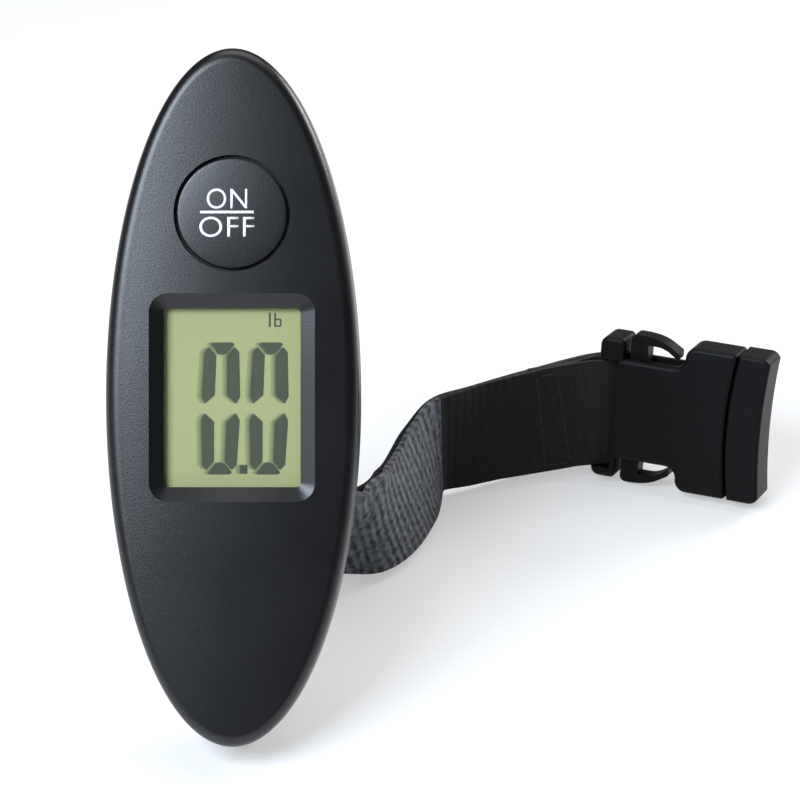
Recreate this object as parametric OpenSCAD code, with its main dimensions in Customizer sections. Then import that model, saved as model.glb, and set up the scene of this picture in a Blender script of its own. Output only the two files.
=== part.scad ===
// Hand-held digital luggage scale. A two-part elliptical casing holds a display, a push button,
// a circuit board, a coin cell and a steel load cell. The load cell carries a yoke that comes out
// of the back, and a webbing loop with a side-release buckle hangs on the yoke's pin.
// The casing leans back on its lower tip, and the loop on the floor props it from behind.
// Casing frame: x across, y from front to back, z along the casing. The parting plane is y = 0.
// Buckle frame: x along the buckle, y through its thickness, z across its width.

/* [Stance] */
// How far the casing leans back from upright, in degrees
recline = 30; // [26:1:32]

/* [Casing] */
// Length of the casing from tip to tip
case_len = 145; // [143:1:155]
// Width of the casing
case_w = 53; // [52:0.5:58]
// Depth of the front shell from the parting line to the rim of its face
front_depth = 10; // [9.8:0.1:12]
// How far the face is crowned
face_crown = 1.5; // [1:0.1:2]
// Radius of the rounded edge round the face
shoulder_r = 3; // [2.4:0.1:4]
// Straight part of the rear shell's side
rear_side = 4; // [4:0.5:6]
// Depth of the rear shell's dome
rear_dome = 11.5; // [11.5:0.5:14]
// Wall of both shells
wall = 2; // [1.6:0.1:2.2]

/* [Display] */
// Width of the display window
window_w = 28.2; // [26:0.1:29]
// Height of the display window
window_h = 36.9; // [34:0.1:38]
// Width of the sloping border round the window
bevel_w = 3; // [2:0.1:3.2]
// Thickness of the clear lens
lens_t = 1; // [0.8:0.1:1.4]
// Thickness of the display glass
lcd_t = 2.2; // [1.8:0.1:2.6]
// Thickness of the circuit board
pcb_t = 1.2; // [1:0.1:1.6]

/* [Buttons] */
// Diameter of the on-off button
button_d = 22.4; // [18:0.1:23]
// Gap round the on-off button
button_gap = 0.8; // [0.5:0.1:1]
// Height of the on-off button above the middle of the casing
button_z = 37.9; // [37.7:0.1:41]
// Travel of the on-off button
button_travel = 0.6; // [0.3:0.1:0.8]
// Diameter of the unit button in the back
unit_d = 7; // [5:0.5:8]
// Distance of the unit button from the casing's upper tip
unit_from_tip = 28.5; // [26.5:0.5:30.5]
// Travel of the unit button
unit_travel = 0.5; // [0.3:0.1:0.8]

/* [Battery] */
// Diameter of the coin cell
cell_d = 20; // [16:0.5:20]
// Thickness of the coin cell
cell_t = 3.2; // [1.6:0.1:3.2]
// Turn of the battery cover from shut to free, in degrees
cover_turn = 45; // [35:1:60]
// Diameter of the battery cover
cover_d = 24.4; // [23.6:0.2:25]
// Distance of the coin cell from the casing's lower tip
cell_from_tip = 26; // [24.5:0.5:26.5]

/* [Load cell] */
// Distance from each screw of the load cell to the end of its beam
beam_end = 4; // [3:0.5:4.5]
// Width of the load cell's beam
beam_w = 16; // [14:0.5:18]
// Thickness of the load cell's beam
beam_t = 3; // [2:0.1:3.4]
// Distance between the load cell's two screws
beam_pitch = 50; // [49:0.5:51]
// Diameter of the strap pin
pin_d = 4; // [3:0.1:4.4]

/* [Strap] */
// Width of the webbing
web_w = 25; // [22:0.5:25]
// Thickness of the webbing
web_t = 1.3; // [1:0.1:1.4]

/* [Buckle] */
// Width across the buckle's mouth
buckle_w = 35; // [34.6:0.2:38]
// Thickness of the buckle
buckle_t = 9.5; // [9:0.1:11]
// Length of the socket half
socket_len = 33; // [32.5:0.5:36]
// Length of the plug half's base
plug_len = 7.6; // [7.4:0.1:9]
// Wall of the socket half's two plates
plate_t = 2.1; // [1.8:0.1:2.3]

/* [Hidden] */
$fn = 64;

// Clearances: a running fit on a radius, and the usual gap between two pieces
fit = 0.05;
clear = 0.3;
// A cut runs this far past the face it opens
past = 1;

// Half axes of the casing's outline, and of the rim of its face
half_len = case_len / 2;
half_w = case_w / 2;
unit_z = half_len - unit_from_tip;
cell_z = cell_from_tip - half_len;
side_draft = 0.3;
rim_in = side_draft + shoulder_r;
rim_half_len = half_len - rim_in;
rim_half_w = half_w - rim_in;
// The dome of the back is a superellipse of this power
dome_power = 2.4;
// Points round one ring of a shell, and the share of the outline that each ring of a dome has
ring_points = 60;
dome_rings = [1, 0.99, 0.96, 0.9, 0.8, 0.66, 0.48, 0.25];
crown_rings = [1, 0.8, 0.55, 0.28];
shoulder_steps = 5;

function face_y(x, z) =
    -front_depth - face_crown * (1 - pow(x / rim_half_w, 2) - pow(z / rim_half_len, 2));
function dome_y(share, depth) = rear_side + depth * sqrt(1 - pow(share, dome_power));
function back_y(x, z) =
    dome_y(sqrt(pow(x / half_w, 2) + pow(z / half_len, 2)), rear_dome);

// Height of the casing's middle above the floor, and where the part stands in the row frame
stand_h = max([for (s = dome_rings) half_len * s * cos(recline) + dome_y(s, rear_dome) * sin(recline)]);
stand_x = -48;
stand_y = -23.5;

// The display stack, front to back
lip_t = 0.8;
bevel_floor_y = -front_depth + 0.7;
lens_y = bevel_floor_y + lip_t;
lcd_y = lens_y + lens_t;
zebra_y = lcd_y + lcd_t;
zebra_h = 2.3;
zebra_w = 2;
zebra_in = 2.4;
pcb_y = zebra_y + zebra_h;
pcb_back_y = pcb_y + pcb_t;
window_r = 1;
bevel_round = 0.95;
// The border slopes from the window's edge to its full width at the face's middle height, and past it
bevel_face_y = -front_depth - 0.6 * face_crown;
bevel_top_y = -front_depth - face_crown - past;
bevel_out = bevel_w * (bevel_top_y - bevel_floor_y) / (bevel_face_y - bevel_floor_y);
bevel_r = window_r + bevel_out * bevel_round;
sliver = 0.01;
lens_margin = 1.5;
holder_wall = 1.4;
holder_lip = 1;
pad_margin = 1.6;
lens_w = window_w + 2 * lens_margin;
lens_h = window_h + 2 * lens_margin;
holder_w = lens_w + 2 * (clear + holder_wall);
holder_h = lens_h + 2 * (clear + holder_wall);
pad_w = lens_w + 2 * (clear + pad_margin);
pad_h = lens_h + 2 * (clear + pad_margin);
// Where bosses and pads start inside the front wall
front_root_y = -front_depth + 0.6;

// Circuit board
pcb_half_w = 15;
pcb_neck_half_w = 11;
pcb_low = -30;
pcb_top = button_z + 13.5;
pcb_shoulder_z = 26.2;
pcb_neck_z = 29.7;
board_screw_x = 12.3;
board_screw_z = holder_h / 2 + 2.8;
board_screw_r = 1;
board_screw_len = 3.6;
board_head_r = 1.9;
board_head_t = 1.1;
board_boss_r = 2.3;

chip_z = -14;
chip_r = 5;
chip_h = 1.4;

// Push switches: a square body and a round plunger
switch_side = 6;
switch_h = 3.5;
plunger_r = 1.75;
plunger_h = 1;
plunger_in = 0.8;
button_r = button_d / 2;
button_hole_r = button_r + button_gap;
button_flange_t = 0.9;
button_boss_y = pcb_y - switch_h - plunger_h;
button_seat_y = button_boss_y - button_flange_t;
button_flange_r = button_hole_r + 0.9;
button_edge = 0.4;
button_wall = 1.6;
button_rib = 0.6;
button_collar_r = button_hole_r + 2;
button_face_y = face_y(0, button_z) + 0.35;
button_crown = 0.15;
unit_r = unit_d / 2;
unit_hole_r = unit_r + clear;
unit_face_y = back_y(0, unit_z + unit_r) + 0.1;
unit_flange_r = unit_r + 1.2;
unit_flange_t = 0.8;
unit_seat_y = unit_face_y - wall - 0.6;
unit_guide_r = unit_flange_r + clear + 1;
unit_stem_r = 1.5;
unit_guide_len = 3;

// Load cell, its bosses, the yoke and the pin
beam_y = 4;
beam_back_y = beam_y + beam_t;
beam_slot_w = 2;
beam_slot_len = 30;
beam_tongue_w = 8;
// The strain gauges on the beam's front, and their wires
gauge_w = 5;
gauge_len = 3.4;
gauge_t = 0.2;
gauge_z = 9.5;
gauge_wire_r = 0.4;
gauge_wire_pitch = 1.2;
beam_len = beam_pitch + 2 * beam_end;
beam_boss_r = 4;
beam_screw_r = 1.5;
beam_head_r = 2.8;
beam_head_t = 1.8;
beam_screw_bite = 4.2;
back_peak_y = rear_side + rear_dome;
pin_r = pin_d / 2;
pin_y = back_peak_y + pin_r + 2.8;
ear_t = 2.6;
ear_gap = web_w + 1.6;
ear_r = pin_r + 1.6;
yoke_len = ear_gap + 2 * ear_t;
yoke_t = 3;
yoke_w = 2 * ear_r;
yoke_y = pin_y - pin_r - web_t - 1 - yoke_t;
stem_r = 2.5;
nut_af = 8;
nut_h = 2.8;
stem_past = 0.8;
stem_step = 1.5;
slot_half_w = ear_r + 1.2;
slot_half_len = yoke_len / 2 + 2.2;
pin_head_r = pin_r + 1;
pin_head_t = 1.2;

// Battery well, leaning with the back's own slope
well_tilt = -7;
cell_r = cell_d / 2;
cover_r = cover_d / 2;
cover_t = 2;
cover_lug = 1.2;
cover_lug_t = 0.9;
lug_w = 6;
cover_sink = 1.9;
cover_face = back_y(0, cell_z) - cover_sink;
contact_t = 0.4;
contact_w = 5;
cell_step = 0.5;
rim_w = 1;
well_floor_t = 1;
cell_low = cover_face - cover_t - clear - cell_t;
contact_low = cell_low - contact_t;
well_low = contact_low - well_floor_t;
pocket_r = cell_r + clear;
groove_r = cover_r + cover_lug + clear;
well_r = groove_r + 1.8;
scoop_r = cover_r + 1.6;
wire_r = 0.5;
wire_bend_y = 1.6;
wire_start_z = pcb_low + 1.3;
wire_ends = [[-1.6, -(cell_r - rim_w / 2 + clear - fit)], [1.6, -4]];
coin_slot_len = 13;
coin_slot_w = 2;
coin_slot_depth = 1.1;

// Casing screws
case_screw_x = 16.5;
case_screw_z = 31;
case_boss_r = 2.8;
well_wall = 0.8;
case_screw_r = 1.2;
case_head_r = 2.2;
case_head_t = 1.5;
case_seat_y = 4;
case_screw_low = -6.5;

// Buckle placing in the casing frame, and its outline in its own frame
buckle_at = [81.8, 93.6, -0.6];
buckle_lean = 14.5;
buckle_roll = 9.3;
buckle_yaw = -19;
mouth_half = buckle_w / 2;
half_t = buckle_t / 2;
cavity_half_t = half_t - plate_t;
bar_r = 1.4;
web_gap = 1.9;
web_slot_half = web_w / 2 + 2.2;
end_half = web_slot_half + 2.2;
end_corner_r = 2;
end_len = 2 * bar_r + web_gap + 1.2;
neck_half = web_w / 2 - 0.5;
mouth_wall = 3.2;
mouth_len = 12.5;
flare_r = (mouth_half - neck_half) / 2;
mouth_dip = 1.6;
plug_gap = 0.3;
plug_start = socket_len + plug_gap;
plug_end = plug_start + plug_len;
tongue_half_t = cavity_half_t - clear;
arm_root = [socket_len - 2.8, neck_half - 2];
arm_root_r = 1.7;
arm_beam_t = 2;
arm_tip_x = end_len + 0.85;
arm_tip_half = mouth_half + 0.4;
arm_tip_r = 1.4;
thumb_len = 4.2;
thumb_t = 2.2;
barb_end_x = socket_len - mouth_len - 2.2;
barb_t = 1.6;
barb_drop = 3;
tongue_half_w = 2.6;
tongue_tip_x = end_len + 5;
plug_block_half = mouth_half - mouth_wall - clear;
// The plug half's end: a hollow edge, and behind its front a pocket for the webbing, open at the back
end_dip = 1.1;
end_wall = 1.2;
plug_bar_r = 1;
plug_bar_y = 0.4;
plug_loop_r = plug_bar_r + 2 * fit + web_t / 2;
pocket_half = plug_loop_r + web_t / 2 + 4 * fit;
function arc_r(half, dip) = (pow(half, 2) + pow(dip, 2)) / (2 * dip);

// Placing of a buckle point in the casing frame, in the order lean, roll and yaw
function leaned(p) = [
    p.x, p.y * cos(buckle_lean) - p.z * sin(buckle_lean), p.y * sin(buckle_lean) + p.z * cos(buckle_lean)
];
function rolled(p) = [
    p.x * cos(buckle_roll) + p.z * sin(buckle_roll), p.y, p.z * cos(buckle_roll) - p.x * sin(buckle_roll)
];
function yawed(p) = [
    p.x * cos(buckle_yaw) - p.y * sin(buckle_yaw), p.x * sin(buckle_yaw) + p.y * cos(buckle_yaw), p.z
];
function turned_with_buckle(p) = yawed(rolled(leaned(p)));
function on_buckle(p) = buckle_at + turned_with_buckle(p);

// The webbing's route: each row is a point of its middle line and the way its width points
wrap_r = pin_r + fit + web_t / 2;
loop_r = bar_r + 0.2 + web_t / 2;
fold_half = web_t / 2 + 0.15;
fold_len = 17;
// The webbing meets the socket's bar at this angle to the buckle, and a little low on it,
// and slopes down from it along its own plane
web_meet = 32;
web_low = -1.9;
web_slope = 0.2;
// The upper rail of the socket's end reaches down to the webbing's upper edge
web_side = 1;
web_slot_top = web_low + web_w / 2 + web_side;
width_on_pin = [0, 0, 1];
width_on_buckle = turned_with_buckle([0, 0, 1]);
function row(p, w) = [p.x, p.y, p.z, w.x, w.y, w.z];
function on_pin(angle) = row([wrap_r * cos(angle), pin_y + wrap_r * sin(angle), 0], width_on_pin);
function buckle_row(x, y, drop = 0) = row(on_buckle([x, y, web_low - drop]), width_on_buckle);
bar_mid = bar_r;
plug_bar_mid = plug_end - end_dip - end_wall - pocket_half;
// A point a distance back from the socket's bar along the webbing, and a distance to one side of it
function fold_row(back, aside) = buckle_row(
    bar_mid - back * cos(web_meet) - aside * sin(web_meet), aside * cos(web_meet) - back * sin(web_meet),
    max(back - loop_r, 0) * web_slope
);
// The fold's two layers: distance back from the bar, and distance to the side of its middle
fold_rows = [
    [fold_len, fold_half], [9, fold_half], [5, fold_half + 0.7], [2.6, loop_r - 0.2], [1.1, loop_r]
];
front_rows = [
    [wrap_r + 0.1, pin_y + 1.3, 0, 0, 0, 1],
    [wrap_r + 0.6, pin_y + 5.6, 0, 0, 0, 1],
    [4.4, 30.6, -1.2, 0, 0.1, 1],
    [6, 35, -8, 0, 0.1, 1],
    [9.4, 39.5, -18.5, 0, -0.2, 1],
    [15, 43, -26.6, 0, -0.55, 0.83],
    [22, 46, -29.4, -0.05, -0.76, 0.65],
    [28, 50, -28.4, -0.1, -0.66, 0.75],
    [32, 54.5, -26.8, -0.15, -0.58, 0.8],
    [36.2, 62, -22.9, -0.18, -0.46, 0.86],
    [40, 71, -16.9, -0.18, -0.4, 0.9],
    [43.8, 80, -10.9, -0.14, -0.62, 0.77],
    [53, 85.5, -8.3, -0.1, -0.46, 0.88]
];
front_route = concat(
    [for (t = [180 : 22.5 : 360]) on_pin(t)],
    front_rows,
    [for (f = fold_rows) fold_row(f[0], -f[1])],
    [for (t = [-80 : 20 : 80]) fold_row(-loop_r * cos(t), loop_r * sin(t))],
    [for (i = [len(fold_rows) - 1 : -1 : 0]) fold_row(fold_rows[i][0], fold_rows[i][1])]
);
behind = half_t + 1.8;
// Along the middle of the loop the return run lies right behind the front run, and a little lower
nest = web_t + 0.8;
nest_low = 1.2;
nest_first = 8;
function nested(i) =
    let (
        along = unit(place(front_rows[min(i + 1, len(front_rows) - 1)]) - place(front_rows[i - 1])),
        across = unit(width_way(front_rows[i]) - along * (width_way(front_rows[i]) * along)),
        through = cross(along, across)
    )
        row(place(front_rows[i]) - through * nest - across * nest_low, across);
return_route = concat(
    [
        [-wrap_r, pin_y + 2 * fit, 0, 0, 0, 1],
        [-wrap_r - 0.1, pin_y + 1.7, 0, 0, 0, 1],
        [-wrap_r - 0.6, pin_y + 4, 0, 0, 0, 1],
        [-4.6, 28, -1.2, 0, 0.1, 1],
        [-10, 36, -5, 0, 0.1, 1],
        [-15, 47, -11, 0, 0, 1],
        [-13, 58, -18, 0, -0.15, 1],
        [-4, 63, -23.4, 0.05, -0.3, 0.95],
        [7, 60.5, -25.4, 0.02, -0.6, 0.8],
        [17, 56, -28.4, -0.05, -0.86, 0.5],
        [25.6, 54, -28.6, -0.1, -0.74, 0.66]
    ],
    [for (i = [nest_first : len(front_rows) - 1]) nested(i)],
    [[65, 94.8, -5.4, 0, -0.3, 0.95]],
    [buckle_row(-3, behind, 1.2)],
    [for (x = [9, 21]) buckle_row(x, behind)],
    [buckle_row(plug_start - 4, behind), buckle_row(plug_bar_mid - 1.4, behind - 0.25)],
    [buckle_row(plug_bar_mid + 1.1, behind - 1.95), buckle_row(plug_bar_mid + plug_loop_r, plug_bar_y + 2)],
    [
        for (t = [0 : -22.5 : -180])
            buckle_row(plug_bar_mid + plug_loop_r * cos(t), plug_bar_y + plug_loop_r * sin(t))
    ],
    [buckle_row(plug_bar_mid - plug_loop_r, plug_bar_y + 1.6)]
);
route_steps = 3;

case_black = [0.15, 0.15, 0.17];
buckle_black = [0.1, 0.1, 0.1];
web_black = [0.12, 0.12, 0.13];
steel = [0.7, 0.7, 0.72];
board_green = [0.1, 0.35, 0.2];

module stand() {
    translate([stand_x, stand_y, stand_h]) rotate([-recline, 0, 0]) children();
}

module on_the_buckle() {
    stand() translate(buckle_at) rotate([buckle_lean, buckle_roll, buckle_yaw]) children();
}

module in_the_well() {
    stand() translate([0, 0, cell_z]) rotate([well_tilt, 0, 0]) children();
}

// A cylinder along y from one depth to another
module rod(r, from_y, to_y, x = 0, z = 0) {
    translate([x, to_y, z]) rotate([90, 0, 0]) cylinder(r = r, h = to_y - from_y);
}

// A box centred on x and z, from one depth to another
module slab(w, h, from_y, to_y, x = 0, z = 0) {
    translate([x - w / 2, from_y, z - h / 2]) cube([w, to_y - from_y, h]);
}

// A flat rectangle with round corners
module rounded(w, h, r) {
    square([w - 2 * r, h], center = true);
    square([w, h - 2 * r], center = true);
    for (x = [-1, 1], z = [-1, 1]) translate([x * (w / 2 - r), z * (h / 2 - r)]) circle(r);
}

// A flat outline drawn in x and z, made solid from one depth to another
module plate(from_y, to_y) {
    translate([0, to_y, 0]) rotate([90, 0, 0]) linear_extrude(to_y - from_y) children();
}

// One ring of a shell: [half length, half width, depth]
function ring(r) = [
    for (i = [0 : ring_points - 1])
        let (t = 360 * i / ring_points) [r[1] * cos(t), r[2], r[0] * sin(t)]
];
function pole(r) = [0, r[2], 0];
// Faces between two rings whose points start at i0 and j0, and from a ring to its pole
function band(i0, j0) = [
    for (i = [0 : ring_points - 1])
        let (k = (i + 1) % ring_points)
            each [[i0 + i, j0 + i, j0 + k], [i0 + i, j0 + k, i0 + k]]
];
function cap(i0, top) = [
    for (i = [0 : ring_points - 1]) [i0 + i, top, i0 + (i + 1) % ring_points]
];
function turned(faces) = [for (f = faces) [f[2], f[1], f[0]]];

// A bowl that opens at y = 0: rings from the mouth to the pole, outside and inside.
// The last entry of each list is the pole's depth.
module bowl(outer, inner) {
    n = len(outer) - 1;
    m = len(inner) - 1;
    outer_pole = n * ring_points;
    inner_start = outer_pole + 1;
    inner_pole = inner_start + m * ring_points;
    points = concat(
        [for (k = [0 : n - 1]) each ring(outer[k])],
        [pole(outer[n])],
        [for (k = [0 : m - 1]) each ring(inner[k])],
        [pole(inner[m])]
    );
    outside = concat(
        [for (k = [0 : n - 2]) each band(k * ring_points, (k + 1) * ring_points)],
        cap((n - 1) * ring_points, outer_pole)
    );
    inside = concat(
        [for (k = [0 : m - 2]) each band(inner_start + k * ring_points, inner_start + (k + 1) * ring_points)],
        cap(inner_start + (m - 1) * ring_points, inner_pole)
    );
    polyhedron(points, concat(turned(outside), inside, band(0, inner_start)));
}

// Rings of the front shell at an inset from its outside, as a bowl that points backwards
function front_rings(inset) =
    let (r = shoulder_r - inset, flat_y = front_depth - shoulder_r)
        concat(
            [[half_len - inset, half_w - inset, 0]],
            [
                for (i = [0 : shoulder_steps - 1])
                    let (t = 90 * i / shoulder_steps, out = side_draft + inset + r * (1 - cos(t)))
                        [half_len - out, half_w - out, flat_y + r * sin(t)]
            ],
            [
                for (s = crown_rings)
                    [rim_half_len * s, rim_half_w * s, front_depth - inset + face_crown * (1 - s * s)]
            ],
            [[0, 0, front_depth - inset + face_crown]]
        );

// Rings of the rear shell at an inset from its outside
function rear_rings(inset) = concat(
    [[half_len - inset, half_w - inset, 0]],
    [
        for (s = dome_rings)
            [(half_len - inset) * s, (half_w - inset) * s, dome_y(s, rear_dome - inset)]
    ],
    [[0, 0, dome_y(0, rear_dome - inset)]]
);

// The space inside the rear shell, out to the middle of its wall
module rear_core() {
    rings = rear_rings(wall / 2);
    n = len(rings) - 1;
    points = concat([for (k = [0 : n - 1]) each ring(rings[k])], [pole(rings[n]), [0, 0, 0]]);
    top = n * ring_points;
    faces = concat(
        [for (k = [0 : n - 2]) each band(k * ring_points, (k + 1) * ring_points)],
        cap((n - 1) * ring_points, top)
    );
    polyhedron(points, concat(turned(faces), cap(0, top + 1)));
}

module case_screw_places() {
    for (x = [-1, 1], z = [-1, 1]) translate([x * case_screw_x, 0, z * case_screw_z]) children();
}

module board_screw_places() {
    for (x = [-1, 1], z = [-1, 1]) translate([x * board_screw_x, 0, z * board_screw_z]) children();
}

module front_shell() color(case_black) stand() difference() {
    union() {
        mirror([0, 1, 0]) bowl(front_rings(0), front_rings(wall));
        slab(pad_w, pad_h, front_root_y, lcd_y);
        rod(button_collar_r, front_root_y, button_seat_y, z = button_z);
        case_screw_places() rod(case_boss_r, front_root_y, 0);
        board_screw_places() rod(board_boss_r, front_root_y, pcb_y);
    }
    rod(button_hole_r, -front_depth - face_crown - past, 0, z = button_z);
    plate(-front_depth - face_crown - past, 0) rounded(window_w, window_h, window_r);
    slab(lens_w + 2 * clear, lens_h + 2 * clear, lens_y, 0);
    hull() {
        plate(bevel_floor_y - sliver, bevel_floor_y) rounded(window_w, window_h, window_r, $fn = 32);
        plate(bevel_top_y - sliver, bevel_top_y)
            rounded(window_w + 2 * bevel_out, window_h + 2 * bevel_out, bevel_r, $fn = 32);
    }
    case_screw_places() rod(case_screw_r - clear / 2, case_screw_low - clear, past);
    board_screw_places() rod(board_screw_r - clear / 2, pcb_y - board_screw_len - clear, past);
}

module rear_shell() color(case_black) difference() {
    union() {
        stand() bowl(rear_rings(0), rear_rings(wall));
        intersection() {
            stand() rear_core();
            union() {
                stand() case_screw_places() rod(case_boss_r + well_wall, 0, back_peak_y);
                stand() for (z = [-1, 1]) rod(beam_boss_r, beam_back_y, back_peak_y, z = z * beam_pitch / 2);
                stand() rod(unit_guide_r, unit_seat_y - unit_guide_len, back_peak_y, z = unit_z);
                in_the_well() rod(well_r, well_low, back_peak_y);
            }
        }
    }
    stand() case_screw_places() {
        rod(case_screw_r + clear / 2, -past, back_peak_y);
        rod(case_head_r + clear, case_seat_y, back_peak_y);
    }
    stand() for (z = [-1, 1]) translate([0, 0, z * beam_pitch / 2])
        rod(beam_screw_r - clear / 2, beam_back_y - past, beam_back_y + beam_screw_bite + clear);
    stand() plate(beam_back_y, back_peak_y + past) slot_outline();
    stand() rod(unit_hole_r, 0, back_peak_y, z = unit_z);
    stand() rod(unit_flange_r + clear, 0, unit_seat_y, z = unit_z);
    in_the_well() {
        rod(pocket_r, contact_low, back_peak_y);
        rod(cover_r + clear, cover_face - cover_t, back_peak_y);
        rod(groove_r, cover_face - cover_t, cover_face - cover_t + cover_lug_t + clear);
        rod(scoop_r, cover_face, back_peak_y + 2 * past);
        intersection() {
            rod(groove_r, cover_face - cover_t, back_peak_y);
            slab(lug_w + 2 * clear, 3 * groove_r, cover_face - cover_t, back_peak_y);
        }
        slab(contact_w + 2 * clear, 4 * clear, contact_low, cover_face - cover_t, z = -cell_r);
        for (p = wire_ends) rod(wire_r + clear, well_low - past, cell_low, p.x, p.y);
    }
}

// The stadium-shaped opening in the back that the yoke comes through
module slot_outline() {
    square([2 * slot_half_w, 2 * (slot_half_len - slot_half_w)], center = true);
    for (z = [-1, 1]) translate([0, z * (slot_half_len - slot_half_w)]) circle(slot_half_w);
}

module display_lens() color([0.8, 0.85, 0.85, 0.4]) stand()
    plate(lens_y, lens_y + lens_t) rounded(lens_w, lens_h, window_r);

module lcd_panel() color([0.66, 0.71, 0.5]) stand()
    slab(lens_w, lens_h, lcd_y, lcd_y + lcd_t);

module lcd_holder() color([0.85, 0.85, 0.82]) stand() difference() {
    slab(holder_w, holder_h, lcd_y, pcb_y);
    slab(lens_w + 2 * clear, lens_h + 2 * clear, lcd_y - past, zebra_y);
    slab(lens_w - 2 * holder_lip, lens_h - 2 * holder_lip, lcd_y, pcb_y + past);
}

module zebra_strips() color([0.9, 0.6, 0.65]) stand()
    for (z = [-1, 1]) slab(lens_w - 2 * zebra_w, zebra_w, zebra_y, pcb_y, z = z * (lens_h / 2 - zebra_in));

module circuit_board() color(board_green) stand() difference() {
    plate(pcb_y, pcb_back_y) polygon([
        [-pcb_half_w, pcb_low], [pcb_half_w, pcb_low], [pcb_half_w, pcb_shoulder_z],
        [pcb_neck_half_w, pcb_neck_z], [pcb_neck_half_w, pcb_top], [-pcb_neck_half_w, pcb_top],
        [-pcb_neck_half_w, pcb_neck_z], [-pcb_half_w, pcb_shoulder_z]
    ]);
    board_screw_places() rod(board_screw_r + fit, pcb_y - past, pcb_back_y + past);
    case_screw_places() rod(case_boss_r + clear, pcb_y - past, pcb_back_y + past);
}

module chip_cover() color([0.05, 0.05, 0.05]) stand() translate([0, pcb_back_y, chip_z]) rotate([-90, 0, 0])
    rotate_extrude() polygon([[0, 0], [chip_r, 0], [chip_r - 0.6, 0.7], [chip_r - 2, 1.2], [0, chip_h]]);

// A pan-head screw along y: the head's seat, the way its point lies and its length
module screw(r, head_r, head_t, seat_y, point_y) {
    toward = sign(point_y - seat_y);
    rod(r, min(seat_y, point_y), max(seat_y, point_y));
    difference() {
        rod(head_r, min(seat_y, seat_y - toward * head_t), max(seat_y, seat_y - toward * head_t));
        outer = seat_y - toward * head_t;
        for (turn = [0, 90]) rotate([0, turn, 0])
            slab(head_r * 1.3, head_r * 0.28, outer - head_t * 0.55, outer + head_t * 0.55);
    }
}

module board_screws() color(steel) stand()
    board_screw_places()
        screw(board_screw_r - clear / 2, board_head_r, board_head_t, pcb_back_y, pcb_y - board_screw_len);

module on_off_switch() color(steel) stand() difference() {
    slab(switch_side, switch_side, pcb_y - switch_h, pcb_y, z = button_z);
    rod(
        plunger_r + fit, pcb_y - switch_h - past, pcb_y - switch_h + plunger_in + button_travel + clear,
        z = button_z
    );
}

module on_off_plunger() color("black") stand()
    rod(plunger_r, pcb_y - switch_h - plunger_h, pcb_y - switch_h + plunger_in, z = button_z);

// The cap's half section, drawn as radius and depth behind the face, with its boss on the plunger
module on_off_button() color(case_black) stand() translate([0, 0, button_z]) rotate([-90, 0, 0])
    rotate_extrude() polygon([
        [0, button_face_y - button_crown], [button_r * 0.5, button_face_y - button_crown * 0.75],
        [button_r * 0.8, button_face_y - button_crown * 0.3], [button_r - button_edge, button_face_y],
        [button_r, button_face_y + button_edge], [button_r, button_seat_y],
        [button_flange_r, button_seat_y], [button_flange_r, button_boss_y],
        [button_r - button_wall, button_boss_y], [button_r - button_wall, button_seat_y - button_rib],
        [plunger_r + button_rib, button_seat_y - button_rib], [plunger_r + button_rib, button_boss_y],
        [0, button_boss_y]
    ]);

module unit_switch() color(steel) stand() difference() {
    slab(switch_side, switch_side, pcb_back_y, pcb_back_y + switch_h, z = unit_z);
    rod(
        plunger_r + fit, pcb_back_y + switch_h - plunger_in - unit_travel - clear, pcb_back_y + switch_h + past,
        z = unit_z
    );
}

module unit_plunger() color("black") stand()
    rod(plunger_r, pcb_back_y + switch_h - plunger_in, pcb_back_y + switch_h + plunger_h, z = unit_z);

module unit_button() color([0.35, 0.35, 0.37]) stand() {
    rod(unit_r, unit_seat_y - unit_flange_t, unit_face_y, z = unit_z);
    rod(unit_flange_r, unit_seat_y - unit_flange_t, unit_seat_y, z = unit_z);
    rod(unit_stem_r, pcb_back_y + switch_h + plunger_h, unit_seat_y, z = unit_z);
}

module load_cell() color(steel) stand() difference() {
    slab(beam_w, beam_len, beam_y, beam_back_y);
    for (x = [-1, 1])
        slab(beam_slot_w, beam_slot_len, beam_y - past, beam_back_y + past, x * (beam_tongue_w + beam_slot_w) / 2);
    for (z = [-1, 1]) rod(beam_screw_r + fit, beam_y - past, beam_back_y + past, z = z * beam_pitch / 2);
    rod(stem_r + fit, beam_y - past, beam_back_y + past);
}

module strain_gauges() color([0.85, 0.6, 0.3]) stand()
    for (z = [-1, 1]) slab(gauge_w, gauge_len, beam_y - gauge_t, beam_y, z = z * gauge_z);

module gauge_wires() {
    tints = ["red", "white", "green", "black"];
    for (i = [0 : 3]) color(tints[i]) stand()
        rod(gauge_wire_r, pcb_back_y, beam_y - gauge_t, x = (i - 1.5) * gauge_wire_pitch, z = gauge_z);
}

module load_cell_screws() color(steel) stand()
    for (z = [-1, 1]) translate([0, 0, z * beam_pitch / 2])
        screw(beam_screw_r - clear / 2, beam_head_r, beam_head_t, beam_y, beam_back_y + beam_screw_bite);

module yoke() color(steel) stand() {
    difference() {
        union() {
            slab(yoke_w, yoke_len, yoke_y, yoke_y + yoke_t);
            for (z = [-1, 1]) translate([0, 0, z * (ear_gap + ear_t) / 2]) {
                slab(yoke_w, ear_t, yoke_y, pin_y);
                translate([0, pin_y, -ear_t / 2]) cylinder(r = ear_r, h = ear_t);
            }
        }
        translate([0, pin_y, -yoke_len]) cylinder(r = pin_r + fit, h = 2 * yoke_len);
    }
    rod(stem_r, beam_y - nut_h - stem_past, yoke_y);
    rod(stem_r + stem_step, beam_back_y, yoke_y);
}

module yoke_nut() color(steel) stand() difference() {
    translate([0, beam_y, 0]) rotate([90, 0, 0]) cylinder(d = nut_af / cos(30), h = nut_h, $fn = 6);
    rod(stem_r + fit, beam_y - nut_h - past, beam_y + past);
}

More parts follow.
